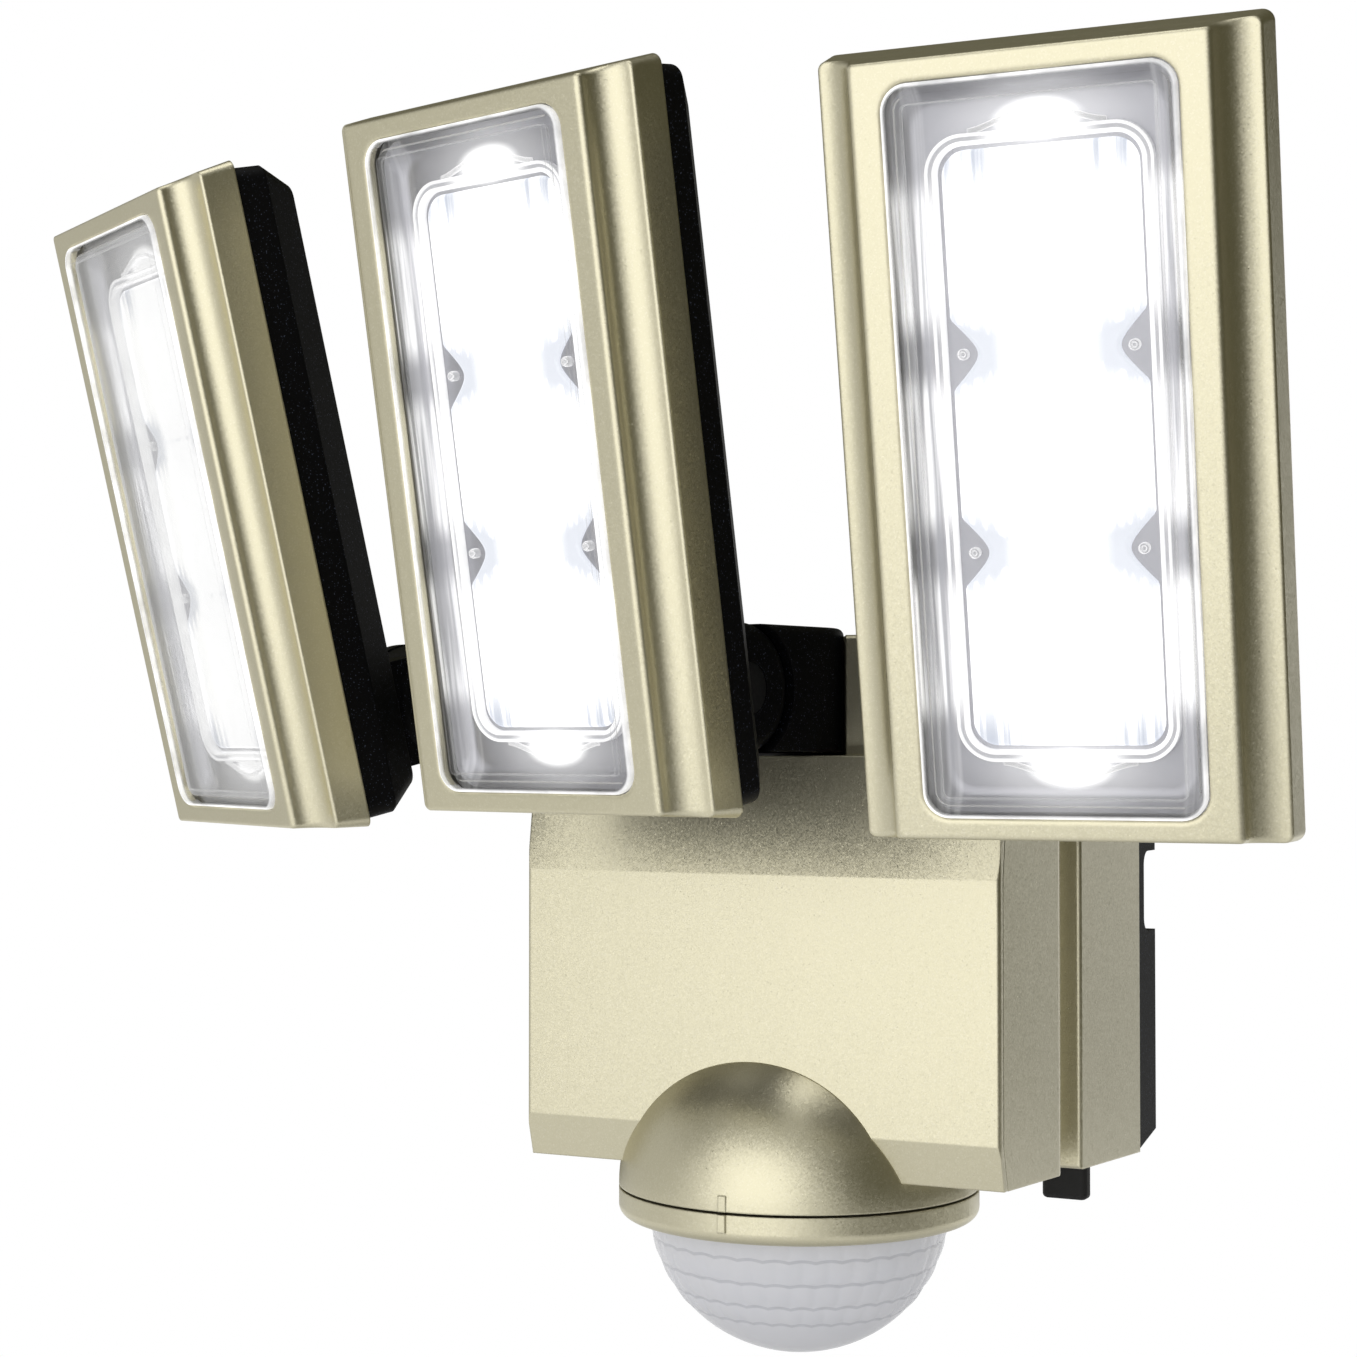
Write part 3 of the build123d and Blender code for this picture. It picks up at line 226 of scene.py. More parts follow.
def side_profile():
    """Half outline of the bezel in plan: the plate's round edge, a wide cove that ends facing
    forward, a small round edge and the drafted wall."""
    plate = quarter((PLATE_HALF_W - PLATE_ROUND, 0.0), (PLATE_HALF_W, PLATE_ROUND), False)
    cove = quarter((PLATE_HALF_W, PLATE_ROUND), COVE_END, True, 20)
    edge = quarter(COVE_END, WALL_START, False)
    wall = [(WALL_START[0] + t * (RIM[0] - WALL_START[0]),
             WALL_START[1] + t * (RIM[1] - WALL_START[1])) for t in (0.08, 0.94, 1.0)]
    return np.concatenate((plate, cove[1:], edge[1:], wall))


def bezel_shell():
    """Front frame: rounded rectangles along the side profile, whose height follows the drafted
    ends with a rounded front edge, then the stepped inside and the window, closed to the first
    ring. Two rings on the flat plate, near its edges, keep its shading flat."""
    profile = side_profile()
    rings = []
    for x, y in profile:
        near = min(y / END_ROUND, 1.0)
        height = FACE_HALF_H + DRAFT * y - END_ROUND * (1 - (1 - (1 - near) ** 2) ** 0.5)
        rings.append(rounded((2 * x, 2 * height, 0.7 + 0.1 * y), y))
    rings += [rounded(HOLLOW, RIM[1]), rounded(HOLLOW, HOLLOW_Y), rounded(STEP, HOLLOW_Y),
              rounded(STEP, STEP_Y), rounded(WINDOW, STEP_Y), rounded(WINDOW, WINDOW_ROUND),
              rounded(WINDOW, 0.12, 0.12), rounded(WINDOW, 0.0, WINDOW_ROUND),
              rounded(WINDOW, 0.0, WINDOW_ROUND + 0.5)]
    plate = (2 * profile[0, 0] - 0.8, 2 * (FACE_HALF_H - END_ROUND) - 0.8, 0.5)
    return Shell().grid(rings + [rounded(plate, 0.0), rings[0]])


def cover_shell():
    """Clear cup: a flange behind the bezel, a short wall, a rounded rim and a front that is
    thinner inside a band along its edge."""
    rim = [rounded(COVER, COVER_ROUND - COVER_PROUD - COVER_ROUND * sin(a),
                   COVER_ROUND * (cos(a) - 1)) for a in np.linspace(0, pi / 2, 6)]
    front, back = FLANGE_Y
    outer = [rounded(COVER, back, FLANGE), rounded(COVER, front, FLANGE), rounded(COVER, front)]
    inner = [rounded(COVER, THIN_Y, 0.3 - COVER_BAND), rounded(COVER, THICK_Y, -COVER_BAND),
             rounded(COVER, THICK_Y, -COVER_WALL - 0.4),
             rounded(COVER, THICK_Y + 0.4, -COVER_WALL), rounded(COVER, back, -COVER_WALL)]
    return Shell().grid(outer + rim, caps=(-1,)).grid(inner + [outer[0]], caps=(0,))


def tray_shell():
    """Reflector: a rim, sloping walls that round into a flat floor, and the same again behind."""
    def between(t, y, grow=0.0):
        size = [a + (b - a) * t for a, b in zip(TRAY_MOUTH, TRAY_FLOOR)]
        return rounded(size, y, grow)
    depth = TRAY_FLOOR_Y - TRAY_Y
    wall = [between(0.0, TRAY_Y, TRAY_LIP), between(0.0, TRAY_Y, TRAY_ROUND),
            between(0.0, TRAY_Y + TRAY_ROUND)]
    wall += [between(t, TRAY_Y + depth * t) for t in (0.2, 0.5, 0.8)]
    wall += [between(1.0, TRAY_FLOOR_Y - 0.2, -0.1), between(1.0, TRAY_FLOOR_Y, -0.8),
             between(1.0, TRAY_FLOOR_Y, -1.4)]
    back = [between(1.0, TRAY_FLOOR_Y + TRAY_WALL, 0.9), between(0.0, TRAY_Y + TRAY_WALL, 1.4),
            between(0.0, TRAY_Y + TRAY_WALL, TRAY_LIP)]
    return Shell().grid(wall, caps=(-1,)).grid(back + [wall[0]], caps=(0,))


def lobe_path(y, inset=0.0):
    """Points round the lobes: a rounded rectangle whose half width is, beside each notch, no more
    than the notch's floor plus the distance from the notch, moved in by an inset."""
    half_w, half_h, radius = LOBES[0] / 2, LOBES[1] / 2, LOBES[2]
    turn = np.linspace(0, pi / 2, 9)
    straight = half_h - radius
    steps = np.linspace(-straight, straight, 157)
    z = np.concatenate((-straight - radius * np.cos(turn), steps,
                        straight + radius * np.sin(turn)))
    past = np.clip(abs(z) - straight, 0, None) / radius
    limit = half_w - radius + radius * np.sqrt(np.clip(1 - past ** 2, 0, 1))
    gap = np.minimum(abs(z - LOBE_PITCH / 2), abs(z + LOBE_PITCH / 2))
    notch = half_w - NOTCH + np.hypot(gap, NOTCH_BLUNT) - NOTCH_INSET * inset
    x = np.minimum(limit, notch) - inset
    z = z * (1 - inset / half_h)
    x, z = np.concatenate((x, -x[::-1])), np.concatenate((z, z[::-1]))
    return np.stack((x, np.full_like(x, y), z), axis=-1)


def lens_shell():
    """Lens block: upright walls round the three lobes, a quarter-round rim and a flat front."""
    rim = [lobe_path(LOBES_Y + LOBE_ROUND * (1 - sin(a)), LOBE_ROUND * (1 - cos(a)))
           for a in np.linspace(0, pi / 2, 6)]
    return Shell().grid([lobe_path(BASE_Y)] + rim, caps=(0, -1))


def frame_shell():
    """Clear frame round the lens block: two rounded ridges, a groove between them, a web inside."""
    rings = [rounded(LENS_FRAME, y, grow, 12) for y, grow in FRAME_PROFILE]
    return Shell().grid(rings, caps=(0, -1))


def tab_shell(end):
    """Clear tab at one end of the lens block: a low arch along X, the power 1.5 of a cosine, whose
    section is a flat oval that thins toward both ends."""
    along = np.linspace(-1, 1, 33)[:, None]
    around = np.linspace(0, 2 * pi, 16, endpoint=False)[None, :]
    arch = LENS_FRAME[1] / 2 + TAB_GAP + TAB_RISE * np.cos(along * pi / 2) ** 1.5
    thin = TAB_THICK[0] + TAB_THICK[1] * np.sqrt(np.clip(1 - along ** 2, 0, 1))
    points = np.stack((TAB_HALF_W * along + 0 * around, TAB_Y + thin * np.sin(around),
                       end * (arch + TAB_HALF_H * np.cos(around))), axis=-1)
    return Shell().grid(points, caps=(0, -1))


def pin_shell(x, z):
    """Round pin in a notch of the lens block: its profile turned about Y."""
    turn = np.linspace(0, 2 * pi, 20, endpoint=False)
    rings = [np.stack((x + r * np.cos(turn), np.full_like(turn, y), z + r * np.sin(turn)), axis=-1)
             for r, y in PIN_PROFILE]
    return Shell().grid(rings, caps=(0, -1))


# ---- dome ---------------------------------------------------------------------------------------

def dome_shell():
    """Dome: a sphere below its rim whose radius swells over each facet of four rows, and a plain
    sphere inside it. A facet's swell falls with the squares of its two coordinates, a and b; below
    the rows the swell is a squared cosine that runs out."""
    step, per_facet = 12, 10
    down = np.concatenate([np.linspace(a, b, step + 1)[:-1]
                           for a, b in zip(DOME_ROWS, DOME_ROWS[1:])])
    row = np.repeat(np.arange(len(DOME_ROWS) - 1), step)[:, None]
    b = (2 * (np.arange(len(down)) % step) / step - 1)[:, None]
    around = np.linspace(0, 2 * pi, DOME_FACETS * per_facet, endpoint=False) + pi / 2
    a = 2 * np.mod(np.arange(len(around))[None, :] / per_facet + 0.5 * row, 1.0) - 1
    swell = np.where(row < 4, FACET_SWELL * (1 - 0.5 * (a ** 2 + b ** 2)),
                     FACET_SWELL * 0.5 * np.cos(b + 1) ** 2)
    down, around = down[:, None], around[None, :]

    def sphere(radius):
        level = radius * np.cos(down)
        return np.stack((level * np.cos(around), SENSOR_Y + level * np.sin(around),
                         DOME_Z - radius * np.sin(down) + 0 * around), axis=-1)
    outside = sphere(DOME_R - FACET_SWELL + swell)
    inside = sphere(DOME_R - DOME_WALL + 0 * swell)
    lip = np.stack((outside[0], inside[0]))
    return Shell().grid(outside, caps=(-1,)).grid(lip).grid(inside, caps=(-1,))


# ---- finishes -----------------------------------------------------------------------------------

class Value:
    """A shader socket on which arithmetic adds Math nodes."""

    def __init__(self, finish, socket):
        self.finish = finish
        self.socket = socket

    def math(self, operation, first, second):
        return self.finish.node("Math", {"operation": operation}, {0: first, 1: second})

    def __add__(self, other):
        return self.math("ADD", self, other)

    def __radd__(self, other):
        return self.math("ADD", other, self)

    def __sub__(self, other):
        return self.math("SUBTRACT", self, other)

    def __rsub__(self, other):
        return self.math("SUBTRACT", other, self)

    def __mul__(self, other):
        return self.math("MULTIPLY", self, other)

    def __rmul__(self, other):
        return self.math("MULTIPLY", other, self)

    def __truediv__(self, other):
        return self.math("DIVIDE", self, other)

    def __pow__(self, other):
        return self.math("POWER", self, other)

    def __abs__(self):
        return self.finish.node("Math", {"operation": "ABSOLUTE"}, {0: self})

    def most(self, other):
        return self.math("MAXIMUM", self, other)

    def least(self, other):
        return self.math("MINIMUM", self, other)


class Finish:
    """A procedural material: one Principled shader and the nodes that feed it."""

    def __init__(self, name, **constants):
        self.material = bpy.data.materials.new(name)
        self.material.use_nodes = True
        self.tree = self.material.node_tree
        self.shader = self.tree.nodes["Principled BSDF"]
        for socket, value in constants.items():
            self.shader.inputs[socket.replace("_", " ")].default_value = value
        self.place = self.node("TexCoord", output="Object")

    def node(self, kind, settings=None, inputs=None, output=0):
        """Adds a node of a kind, with its settings first and then its sockets' values or links."""
        made = self.tree.nodes.new("ShaderNode" + kind)
        for key, value in (settings or {}).items():
            setattr(made, key, value)
        for key, value in (inputs or {}).items():
            if isinstance(value, Value):
                self.tree.links.new(value.socket, made.inputs[key])
            else:
                made.inputs[key].default_value = value
        return Value(self, made.outputs[output])

    def feed(self, **links):
        """Links values to the shader's sockets."""
        for socket, value in links.items():
            self.tree.links.new(value.socket, self.shader.inputs[socket.replace("_", " ")])

    def mix(self, factor, first, second):
        """A colour between two colours."""
        return self.node("Mix", {"data_type": "RGBA"}, {0: factor, 6: first, 7: second}, 2)

    def noise(self, size, detail=2.0, rough=0.5):
        """Noise with blots of about a size in millimetres."""
        return self.node("TexNoise", None, {"Vector": self.place, "Scale": PER_M / size,
                                            "Detail": detail, "Roughness": rough})

    def strokes(self, x, z, low, high):
        """Soft strokes along Z: noise over stretched coordinates, between two levels."""
        flat = self.node("CombineXYZ", None, {0: x, 1: z})
        return self.ramp(self.node("TexNoise", None, {"Vector": flat, "Scale": 1.0,
                                                      "Detail": 2.0}), low, high)

    def ramp(self, value, low, high):
        """0 below low, 1 above high and a smooth rise between."""
        return self.node("MapRange", {"interpolation_type": "SMOOTHSTEP"},
                         {"Value": value, "From Min": low, "From Max": high})

    def band(self, value, low, high, soft):
        """1 between low and high and 0 elsewhere, with soft edges."""
        return self.ramp(value, low - soft, low) - self.ramp(value, high, high + soft)

    def soft_normal(self, radius=0.45):
        """The surface's direction, rounded over edges within a radius in millimetres."""
        return self.node("Bevel", {"samples": 4}, {"Radius": radius * MM})

    def tilt(self, normal, size, amount):
        """Tips a direction at random, by an amount, over cells of a size in millimetres."""
        def vector(operation, *inputs):
            return self.node("VectorMath", {"operation": operation}, dict(enumerate(inputs)))
        cells = self.node("TexVoronoi", None, {"Vector": self.place, "Scale": PER_M / size},
                          "Color")
        centred = vector("SUBTRACT", cells, (0.5, 0.5, 0.5))
        scaled = self.node("VectorMath", {"operation": "SCALE"}, {0: centred, "Scale": amount})
        return vector("NORMALIZE", vector("ADD", normal, scaled))

    def bump(self, height, distance, normal):
        """The direction that a height in millimetres gives over another direction."""
        return self.node("Bump", None, {"Height": height, "Distance": distance * MM,
                                        "Strength": 1.0, "Normal": normal})

    def inside(self, x, z, size):
        """How far a point is inside a rounded rectangle, in millimetres."""
        past_x = abs(x) - (size[0] / 2 - size[2])
        past_z = abs(z) - (size[1] / 2 - size[2])
        out_x, out_z = past_x.most(0.0), past_z.most(0.0)
        beyond = (out_x * out_x + out_z * out_z) ** 0.5
        return size[2] - beyond - past_x.most(past_z).least(0.0)

    def own(self, layer="own_mm"):
        """The piece's own X and Z in millimetres, or another pair, from a UV map."""
        uv = self.node("UVMap", {"uv_map": layer})
        return self.part(uv, "X"), self.part(uv, "Y")

    def part(self, vector, axis):
        """One coordinate of a vector."""
        return self.node("SeparateXYZ", None, {0: vector}, axis)

    def seen_by(self, *kinds):
        """1 for rays of the given kinds and 0 for the others."""
        return reduce(Value.most, [self.node("LightPath", output=kind) for kind in kinds])


def grey(value):
    """A neutral linear colour."""
    return (value, value, value, 1.0)


BLACK_LIGHT, WHITE_LIGHT = grey(0.0), grey(1.0)
FLAKES = 4300.0                        # paint flakes in a metre
FLAKE_TIP, GLINT_TIP = 0.07, 0.25      # how far a flake leans, and what a rare one adds


def gold_paint():
    """Champagne paint with fine metal flakes, a few of which glint on their own."""
    finish = Finish("gold_paint", Metallic=0.93, Specular_IOR_Level=0.5)
    flakes = finish.node("TexVoronoi", None, {"Vector": finish.place, "Scale": FLAKES}, "Color")
    glint = finish.ramp(flakes, 0.6, 0.95)
    rare = finish.ramp(finish.noise(0.3, 0.0), 0.72, 0.78)
    ground = finish.mix(finish.noise(30.0), (0.61, 0.575, 0.415, 1), (0.64, 0.60, 0.44, 1))
    tipped = finish.tilt(finish.soft_normal(), 0.24, FLAKE_TIP + GLINT_TIP * rare)
    finish.feed(Base_Color=finish.mix(glint * 0.25, ground, (0.84, 0.80, 0.68, 1)),
                Roughness=0.34 + 0.05 * glint, Normal=tipped)
    return finish.material


def black_moulding():
    """Black plastic with a fine eroded texture and a few specks that catch the light."""
    finish = Finish("black_moulding", Specular_IOR_Level=0.12)
    grain = finish.noise(0.5, 3.0, 0.6)
    specks = finish.ramp(finish.noise(0.3, 0.0), 0.72, 0.80)
    finish.feed(Base_Color=finish.mix(specks, (0.0025, 0.0025, 0.003, 1), (0.06, 0.07, 0.10, 1)),
                Roughness=0.46 + 0.16 * grain,
                Normal=finish.bump(grain, 0.04, finish.soft_normal(0.5)))
    return finish.material


def clear_cover():
    """Clear plastic seen as thin: only its gloss shows, more so where it is grazed. The edge of
    its front is lit white, and the band inside it ends in a fine line."""
    finish = Finish("clear_cover", Roughness=0.05, Base_Color=grey(0.8), Emission_Strength=1.0)
    depth = finish.inside(*finish.own(), COVER)
    back, _ = finish.own("deep_mm")
    rim = (1.0 - finish.ramp(depth, 0.35, 0.95)) * (1.0 - finish.ramp(back, 0.3, 1.2))
    rim = rim * (0.35 + 0.75 * finish.noise(6.0, 3.0))
    line = finish.band(depth, COVER_BAND - 0.1, COVER_BAND + 0.1, 0.12)
    graze = finish.node("Fresnel", None, {"IOR": 1.18})
    finish.feed(Alpha=(0.01 + 0.5 * graze + 0.95 * rim + 0.22 * line).least(0.98),
                Emission_Color=finish.mix(rim, BLACK_LIGHT, grey(0.85)))
    return finish.material


def lamp_light(finish, z):
    """How near a height is to a lobe's middle: 1 there, 0 at the notches and past the lobes."""
    along = abs(z)
    middle = abs(along - LOBE_PITCH).least(along)
    return (1.0 - finish.ramp(middle, 8.0, 14.5)) * (1.0 - finish.ramp(along, 38.0, 48.0))


GLOW_Z = 51.5                          # middle of the glow in each end of the tray
GLOW_W, GLOW_H = 30.0, 7.0             # squares of the glow's half width and half height


def silver_tray():
    """Bright metallised reflector. The lit lenses glow in its two ends and streak its walls."""
    finish = Finish("silver_tray", Metallic=0.85, Emission_Strength=1.0)
    x, z = finish.own()
    haze = finish.noise(9.0)
    ends = abs(z) - GLOW_Z
    far = ((x * x) / GLOW_W + (ends * ends) / GLOW_H) ** 0.5
    core = 1.2 * (1.0 - finish.ramp(far, 0.6, 1.5))
    glow = core + 0.25 * (1.0 - finish.ramp(far, 0.9, 3.4))
    lines = finish.strokes(x * 1.1, z * 0.02, 0.35, 0.65)
    beside = finish.ramp(abs(x), 17.8, 18.6)
    streaks = beside * (0.15 + 0.85 * lines) * (0.12 + 0.75 * lamp_light(finish, z))
    light = finish.mix(glow.most(streaks).least(1.0), BLACK_LIGHT, (1.0, 1.0, 0.98, 1))
    finish.feed(Base_Color=finish.mix(haze, (0.34, 0.34, 0.365, 1), (0.46, 0.46, 0.49, 1)),
                Roughness=0.36 + 0.1 * haze, Emission_Color=light)
    return finish.material


def lit_lens():
    """Lens block with the light on: white, with fluted blue-grey shade at its ends and in fans
    beside the notches, and a faint broken line from notch to notch."""
    finish = Finish("lit_lens", Roughness=0.15, Base_Color=grey(0.3), Emission_Strength=1.0)
    x, z = finish.own()
    across, along = abs(x), abs(z)
    notch = abs(along - LOBE_PITCH / 2)
    flutes = finish.strokes(x * 0.9, z * 0.01, 0.38, 0.62)
    end = 1.0 - finish.ramp(LOBES[1] / 2 - along, 0.8, 2.0 + 9.0 * flutes)
    end = end * finish.ramp(across, 4.5, 10.0)
    beyond = (across - (LOBES[0] / 2 - NOTCH) + 5.0).most(0.0)
    fan = 1.0 - finish.ramp(notch - beyond * 0.45, 0.3, 1.5 + 5.0 * flutes)
    fan = fan * finish.ramp(beyond, 0.0, 4.5)
    seam = (1.0 - finish.ramp(notch, 0.1, 0.5)) * finish.ramp(finish.noise(2.0, 1.0), 0.45, 0.55)
    shade = (end * (0.35 + 0.65 * flutes)).most(fan * 0.75).most(seam * 0.35).least(1.0)
    finish.feed(Emission_Color=finish.mix(shade, grey(1.15), (0.42, 0.46, 0.55, 1)))
    return finish.material


def clear_frame():
    """Clear moulding lit from inside: white along its two ridges, near the lobes' middles and at
    the middle of its ends, and grey elsewhere."""
    finish = Finish("clear_frame", Roughness=0.12, Base_Color=grey(0.35), Emission_Strength=1.0)
    x, z = finish.own()
    depth = finish.inside(x, z, LENS_FRAME)
    ridges = finish.band(depth, 0.1, 0.5, 0.12) + finish.band(depth, 1.25, 1.85, 0.12)
    far = (abs(x) - 5.0).most(0.0) / 6.0
    ends = (1.0 - finish.ramp(far, 0.0, 1.0)) * finish.ramp(abs(z), 46.0, 49.0)
    lit = (0.6 * lamp_light(finish, z)).most(ends)
    spots = 0.55 + 0.6 * finish.noise(5.0)
    white = (ridges * spots).most(lit).least(1.0)
    finish.feed(Emission_Color=finish.mix(white, (0.26, 0.26, 0.28, 1), grey(0.92)))
    return finish.material


def clear_detail():
    """Clear tabs and pins: see-through, with a painted glow that is dim where they face the view
    and pale at the edges where they are grazed.
    """
    finish = Finish("clear_detail", Roughness=0.12, Base_Color=grey(0.7), Emission_Strength=1.0)
    # Painted light: the emission glows grey, rising to pale where the surface is grazed.
    edge = finish.node("LayerWeight", None, {"Blend": 0.45}, "Facing")
    finish.feed(Alpha=0.25 + 0.6 * edge, Emission_Color=finish.mix(edge, grey(0.25), grey(0.8)))
    return finish.material


def dome_plastic():
    """Milky plastic of the sensor's dome, a little cloudy, with painted shade in a scalloped grey
    line under each row of facets, along the groove where the rows meet."""
    finish = Finish("dome_plastic", Subsurface_Weight=0.12, Subsurface_Radius=(1.0, 0.95, 0.9),
                    Subsurface_Scale=0.002, Roughness=0.22, Specular_IOR_Level=0.6)
    x, y, z = (finish.part(finish.place, axis) * PER_M for axis in "XYZ")
    around = x.math("ARCTAN2", x, y - SENSOR_Y) * (DOME_FACETS / 2)
    scallop = 0.35 * abs(finish.node("Math", {"operation": "SINE"}, {0: around}))
    drop = DOME_Z - z + scallop
    edges = [DOME_R * sin(row) for row in DOME_ROWS[1:5]]
    # Painted shade: a darker scalloped line along each groove between rows of facets.
    lines = reduce(Value.most, [finish.band(drop, e - 0.05, e + 0.4, 0.15) for e in edges])
    cloud = finish.mix(finish.noise(8.0), (0.84, 0.85, 0.90, 1), (0.90, 0.90, 0.94, 1))
    finish.feed(Base_Color=finish.mix(lines * 0.45, cloud, (0.50, 0.51, 0.55, 1)))
    return finish.material


def plain(name, dark, light, size, rough, metal=0.0):
    """A material between two colours over noise of a size, with a fine bump of that size."""
    finish = Finish(name, Metallic=metal)
    grain = finish.noise(size, 3.0)
    finish.feed(Base_Color=finish.mix(grain, dark, light), Roughness=rough + 0.12 * grain,
                Normal=finish.bump(grain, 0.02, finish.soft_normal(0.2)))
    return finish.material


# ---- studio -------------------------------------------------------------------------------------

BACKDROP_RAYS = ("Is Camera Ray", "Is Transmission Ray")
STUDIO_DARK = (0.060, 0.055, 0.020, 1)


class World(Finish):
    """The studio round the object: node maths as in a finish, on the world's own tree."""

    def __init__(self, name):
        self.world = bpy.data.worlds.new(name)
        self.world.use_nodes = True
        self.tree = self.world.node_tree
        self.shader = self.tree.nodes["Background"]
        self.place = self.node("TexCoord", output="Generated")

    def toward(self, direction, low, high):
        """1 near a direction and 0 away from it, by the cosine between them."""
        unit = np.array(direction) / np.linalg.norm(direction)
        dot = self.node("VectorMath", {"operation": "DOT_PRODUCT"},
                        {0: self.place, 1: tuple(unit)}, "Value")
        return self.ramp(dot, low, high)


def make_world():
    """White for the camera's rays and those through clear parts. Gloss sees the white backdrop
    behind the object, a large white front, a pale left side and top, and a dim warm studio
    elsewhere. All other rays get even grey."""
    world = World("studio")
    bpy.context.scene.world = world.world
    behind = world.toward((0.08, 1.0, 0.0), 0.93, 0.985)
    front = world.toward((-0.1, -0.98, -0.15), 0.42, 0.82)
    left = world.toward((-1.0, -0.1, -0.1), 0.5, 0.95)
    above = world.toward((0.0, -0.5, 1.0), 0.5, 1.0)
    shine = behind.most(front).most(0.62 * left).most(0.50 * above)
    gloss = world.mix(shine, STUDIO_DARK, WHITE_LIGHT)
    others = world.mix(world.seen_by("Is Glossy Ray"), grey(0.50), gloss)
    world.feed(Color=world.mix(world.seen_by(*BACKDROP_RAYS), others, WHITE_LIGHT))


FLOOR_Z = -0.2                         # metres, as are the floor's other sizes
FLOOR_R = 0.8
SHADOW_R = (0.16, 0.42)                # its own colour within the first, white past the second


def make_floor():
    """A pale floor below the light that shows its shadow near by and turns white further out.
    Gloss sees that white behind the object and on its left."""
    radius = np.linspace(0.0, FLOOR_R, 9)[1:]
    turn = np.linspace(0, 2 * pi, 48, endpoint=False)
    points = np.stack((np.outer(radius, np.cos(turn)), np.outer(radius, np.sin(turn)),
                       np.full((len(radius), len(turn)), FLOOR_Z)), axis=-1)
    mesh = bpy.data.meshes.new("floor")
    faces = grid_faces(*points.shape[:2])[:, ::-1].tolist() + [list(range(len(turn)))]
    mesh.from_pydata(points.reshape(-1, 3), [], faces)
    finish = Finish("floor", Base_Color=grey(0.86), Roughness=0.8, Specular_IOR_Level=0.1)
    far = finish.node("VectorMath", {"operation": "LENGTH"}, {0: finish.place}, "Value")
    behind = finish.ramp(finish.part(finish.place, "Y"), 0.0, 0.3)
    left = 1.0 - finish.ramp(finish.part(finish.place, "X"), 0.1, 0.5)
    glossy = finish.seen_by("Is Glossy Ray") * behind.most(0.8 * left)
    white = finish.seen_by(*BACKDROP_RAYS).most(glossy) * finish.ramp(far, *SHADOW_R)
    glow = finish.node("Emission", None, {"Color": WHITE_LIGHT})
    mixed = finish.node("MixShader", None,
                        {0: white, 1: Value(finish, finish.shader.outputs[0]), 2: glow})
    finish.tree.links.new(mixed.socket, finish.tree.nodes["Material Output"].inputs["Surface"])
    mesh.materials.append(finish.material)
    floor = bpy.data.objects.new("floor", mesh)
    bpy.context.scene.collection.objects.link(floor)


LAMPS_AIM = (0.0, -0.1, 0.03)


def add_lamp(name, spot, size, power):
    """A square soft lamp that faces the light; metres and watts."""
    data = bpy.data.lights.new(name, "AREA")
    data.size = size
    data.energy = power
    lamp = bpy.data.objects.new(name, data)
    lamp.location = spot
    aim = Vector(LAMPS_AIM) - lamp.location
    lamp.rotation_euler = aim.to_track_quat("-Z", "Y").to_euler()
    bpy.context.scene.collection.objects.link(lamp)


def add_camera():
    """The photograph's view: lens, place and direction."""
    data = bpy.data.cameras.new("camera")
    data.lens = 66.45
    data.sensor_width = 36.0
    camera = bpy.data.objects.new("camera", data)
    camera.location = (0.2022, -0.5477, 0.0461)
    camera.rotation_euler = (radians(91.34), 0.0, radians(26.34))
    bpy.context.scene.collection.objects.link(camera)
    bpy.context.scene.camera = camera


# ---- the light ----------------------------------------------------------------------------------

GOLD = gold_paint()
BLACK = black_moulding()
CLEAR = clear_cover()
SILVER = silver_tray()
LENS = lit_lens()
FRAME = clear_frame()
DETAIL = clear_detail()
DOME = dome_plastic()
STEEL = plain("bright_steel", grey(0.42), grey(0.6), 0.8, 0.25, metal=1.0)
DARK_STEEL = plain("blackened_steel", grey(0.02), grey(0.05), 0.6, 0.35, metal=0.6)
RUBBER = plain("rubber", grey(0.003), grey(0.008), 0.7, 0.6)
BOARD = plain("board_green", (0.01, 0.10, 0.04, 1), (0.02, 0.16, 0.06, 1), 1.5, 0.35)
METAL_BOARD = plain("board_white", grey(0.6), grey(0.75), 1.5, 0.4)
CHIP = plain("led_chip", (0.8, 0.7, 0.2, 1), (0.9, 0.8, 0.3, 1), 0.5, 0.4)

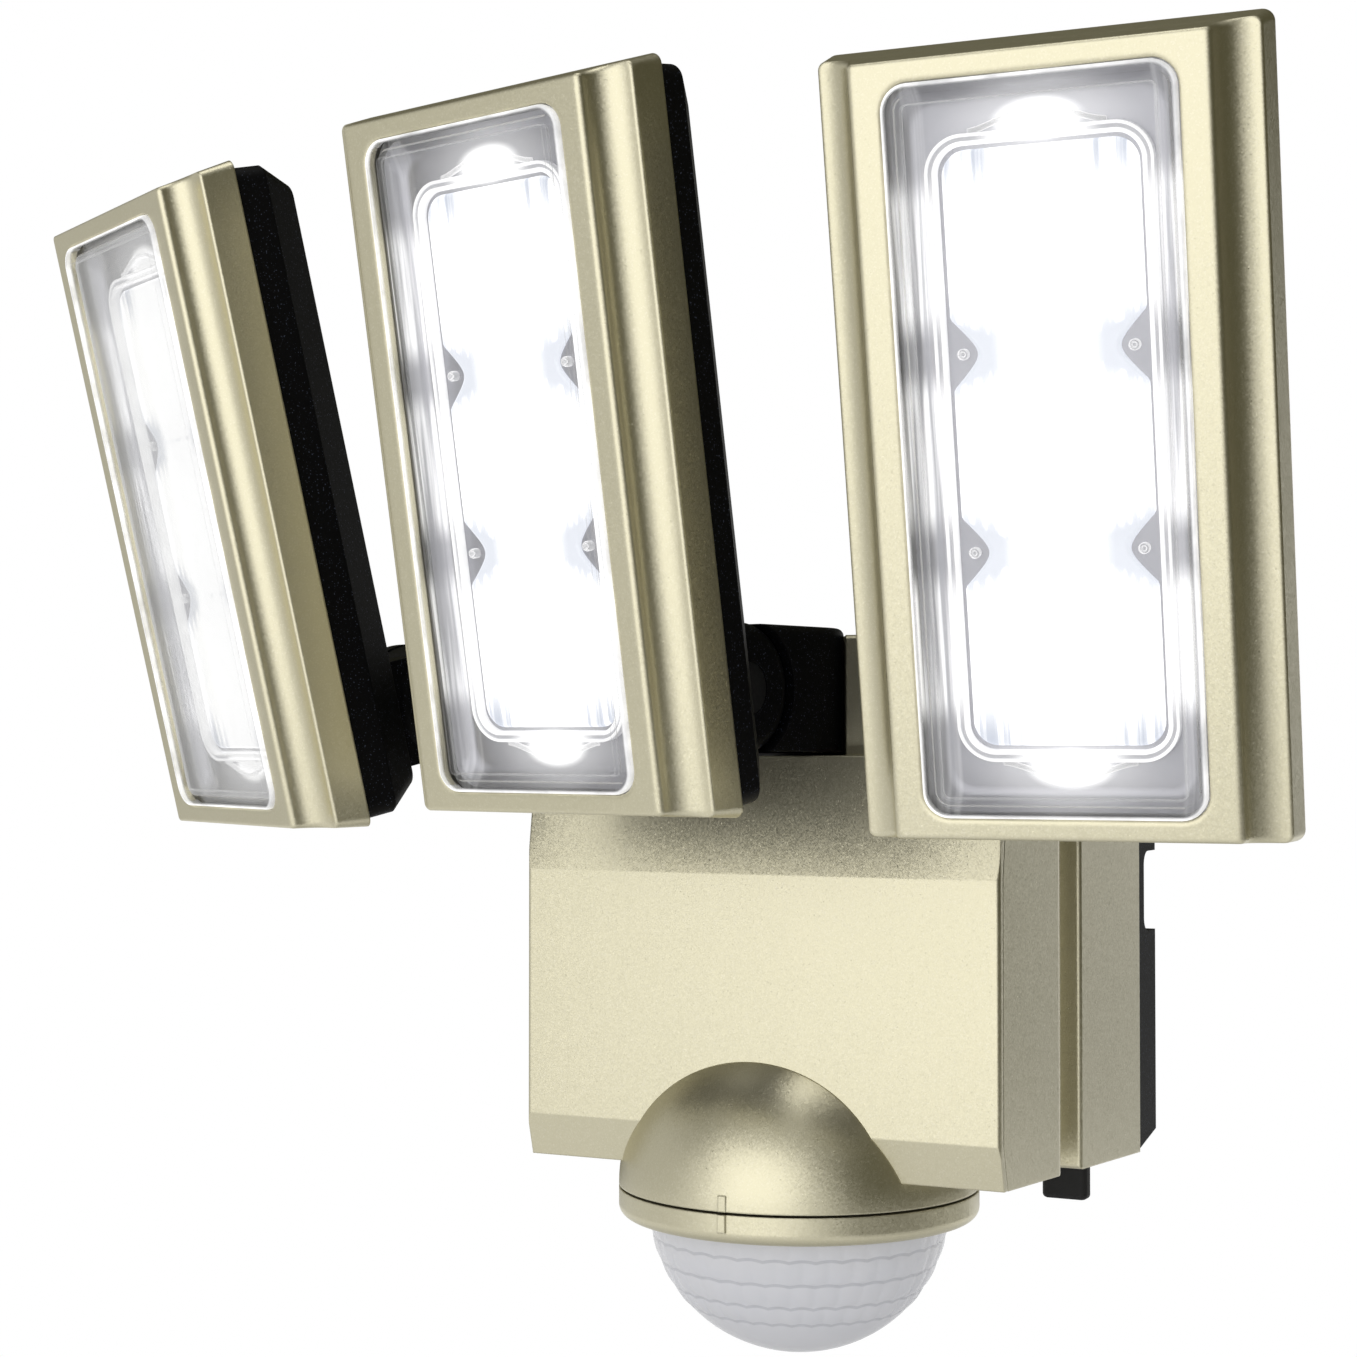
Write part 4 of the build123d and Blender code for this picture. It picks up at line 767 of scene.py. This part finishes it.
# A node with no entry of its own is a head's or arm's, and is listed without its side.
NODE_FINISH = {
    "wall_plate": BLACK, "rear_housing": GOLD, "case_gasket": RUBBER, "mid_housing": GOLD,
    "front_fascia": GOLD, "arm_tower": GOLD, "power_board": BOARD, "case_screws": STEEL,
    "lock_screw": STEEL, "cord_gland": RUBBER, "sensor_hood": GOLD, "sensor_ring": GOLD,
    "sensor_clip": STEEL, "sensor_board": BOARD, "pir_element": STEEL, "dome_lens": DOME,
    "bezel": GOLD, "cover": CLEAR, "reflector": SILVER, "lens": LENS, "leds": CHIP,
    "led_board": METAL_BOARD, "gasket": RUBBER, "back": BLACK, "screws": DARK_STEEL,
    "knuckle": BLACK, "tilt_bolt": DARK_STEEL, "arm": BLACK, "pan_washer": RUBBER,
    "pan_nut": STEEL,
}


def dress_nodes():
    """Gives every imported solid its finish."""
    for node, solid in frame["nodes"].items():
        key = node if node in NODE_FINISH else node.split("_", 1)[1]
        solid.data.materials.clear()
        solid.data.materials.append(NODE_FINISH[key])


def make_head(name):
    """One lamp head's shell, cover, reflector and lenses."""
    body, place = name + "_head", head_place(name)

    def add(piece_name, shell, finish, node):
        piece = make_piece(name + piece_name, shell, finish, body, [name + node], place)
    add("_bezel_skin", bezel_shell(), GOLD, "_bezel")
    add("_window", cover_shell(), CLEAR, "_cover")
    add("_tray", tray_shell(), SILVER, "_reflector")
    add("_lens_block", lens_shell(), LENS, "_lens")
    add("_lens_frame", frame_shell(), FRAME, "_lens")
    for end, label in ((1, "_top"), (-1, "_bottom")):
        add("_tab" + label, tab_shell(end), DETAIL, "_lens")
        for side, across in ((-1, "_left"), (1, "_right")):
            pin = pin_shell(side * (LOBES[0] / 2 - PIN_INSET), end * LOBE_PITCH / 2)
            add("_pin" + label + across, pin, DETAIL, "_lens")


dress_nodes()
for head in SIDES:
    make_head(head)
make_piece("dome", dome_shell(), DOME, "sensor", ["dome_lens"], sharp=60.0)

make_world()
make_floor()
add_lamp("key", (-0.1, -1.5, 0.18), 1.4, 4.8)
add_lamp("top", (0.0, -0.4, 1.4), 0.8, 3.0)
add_camera()
bpy.context.scene.view_settings.view_transform = "Standard"
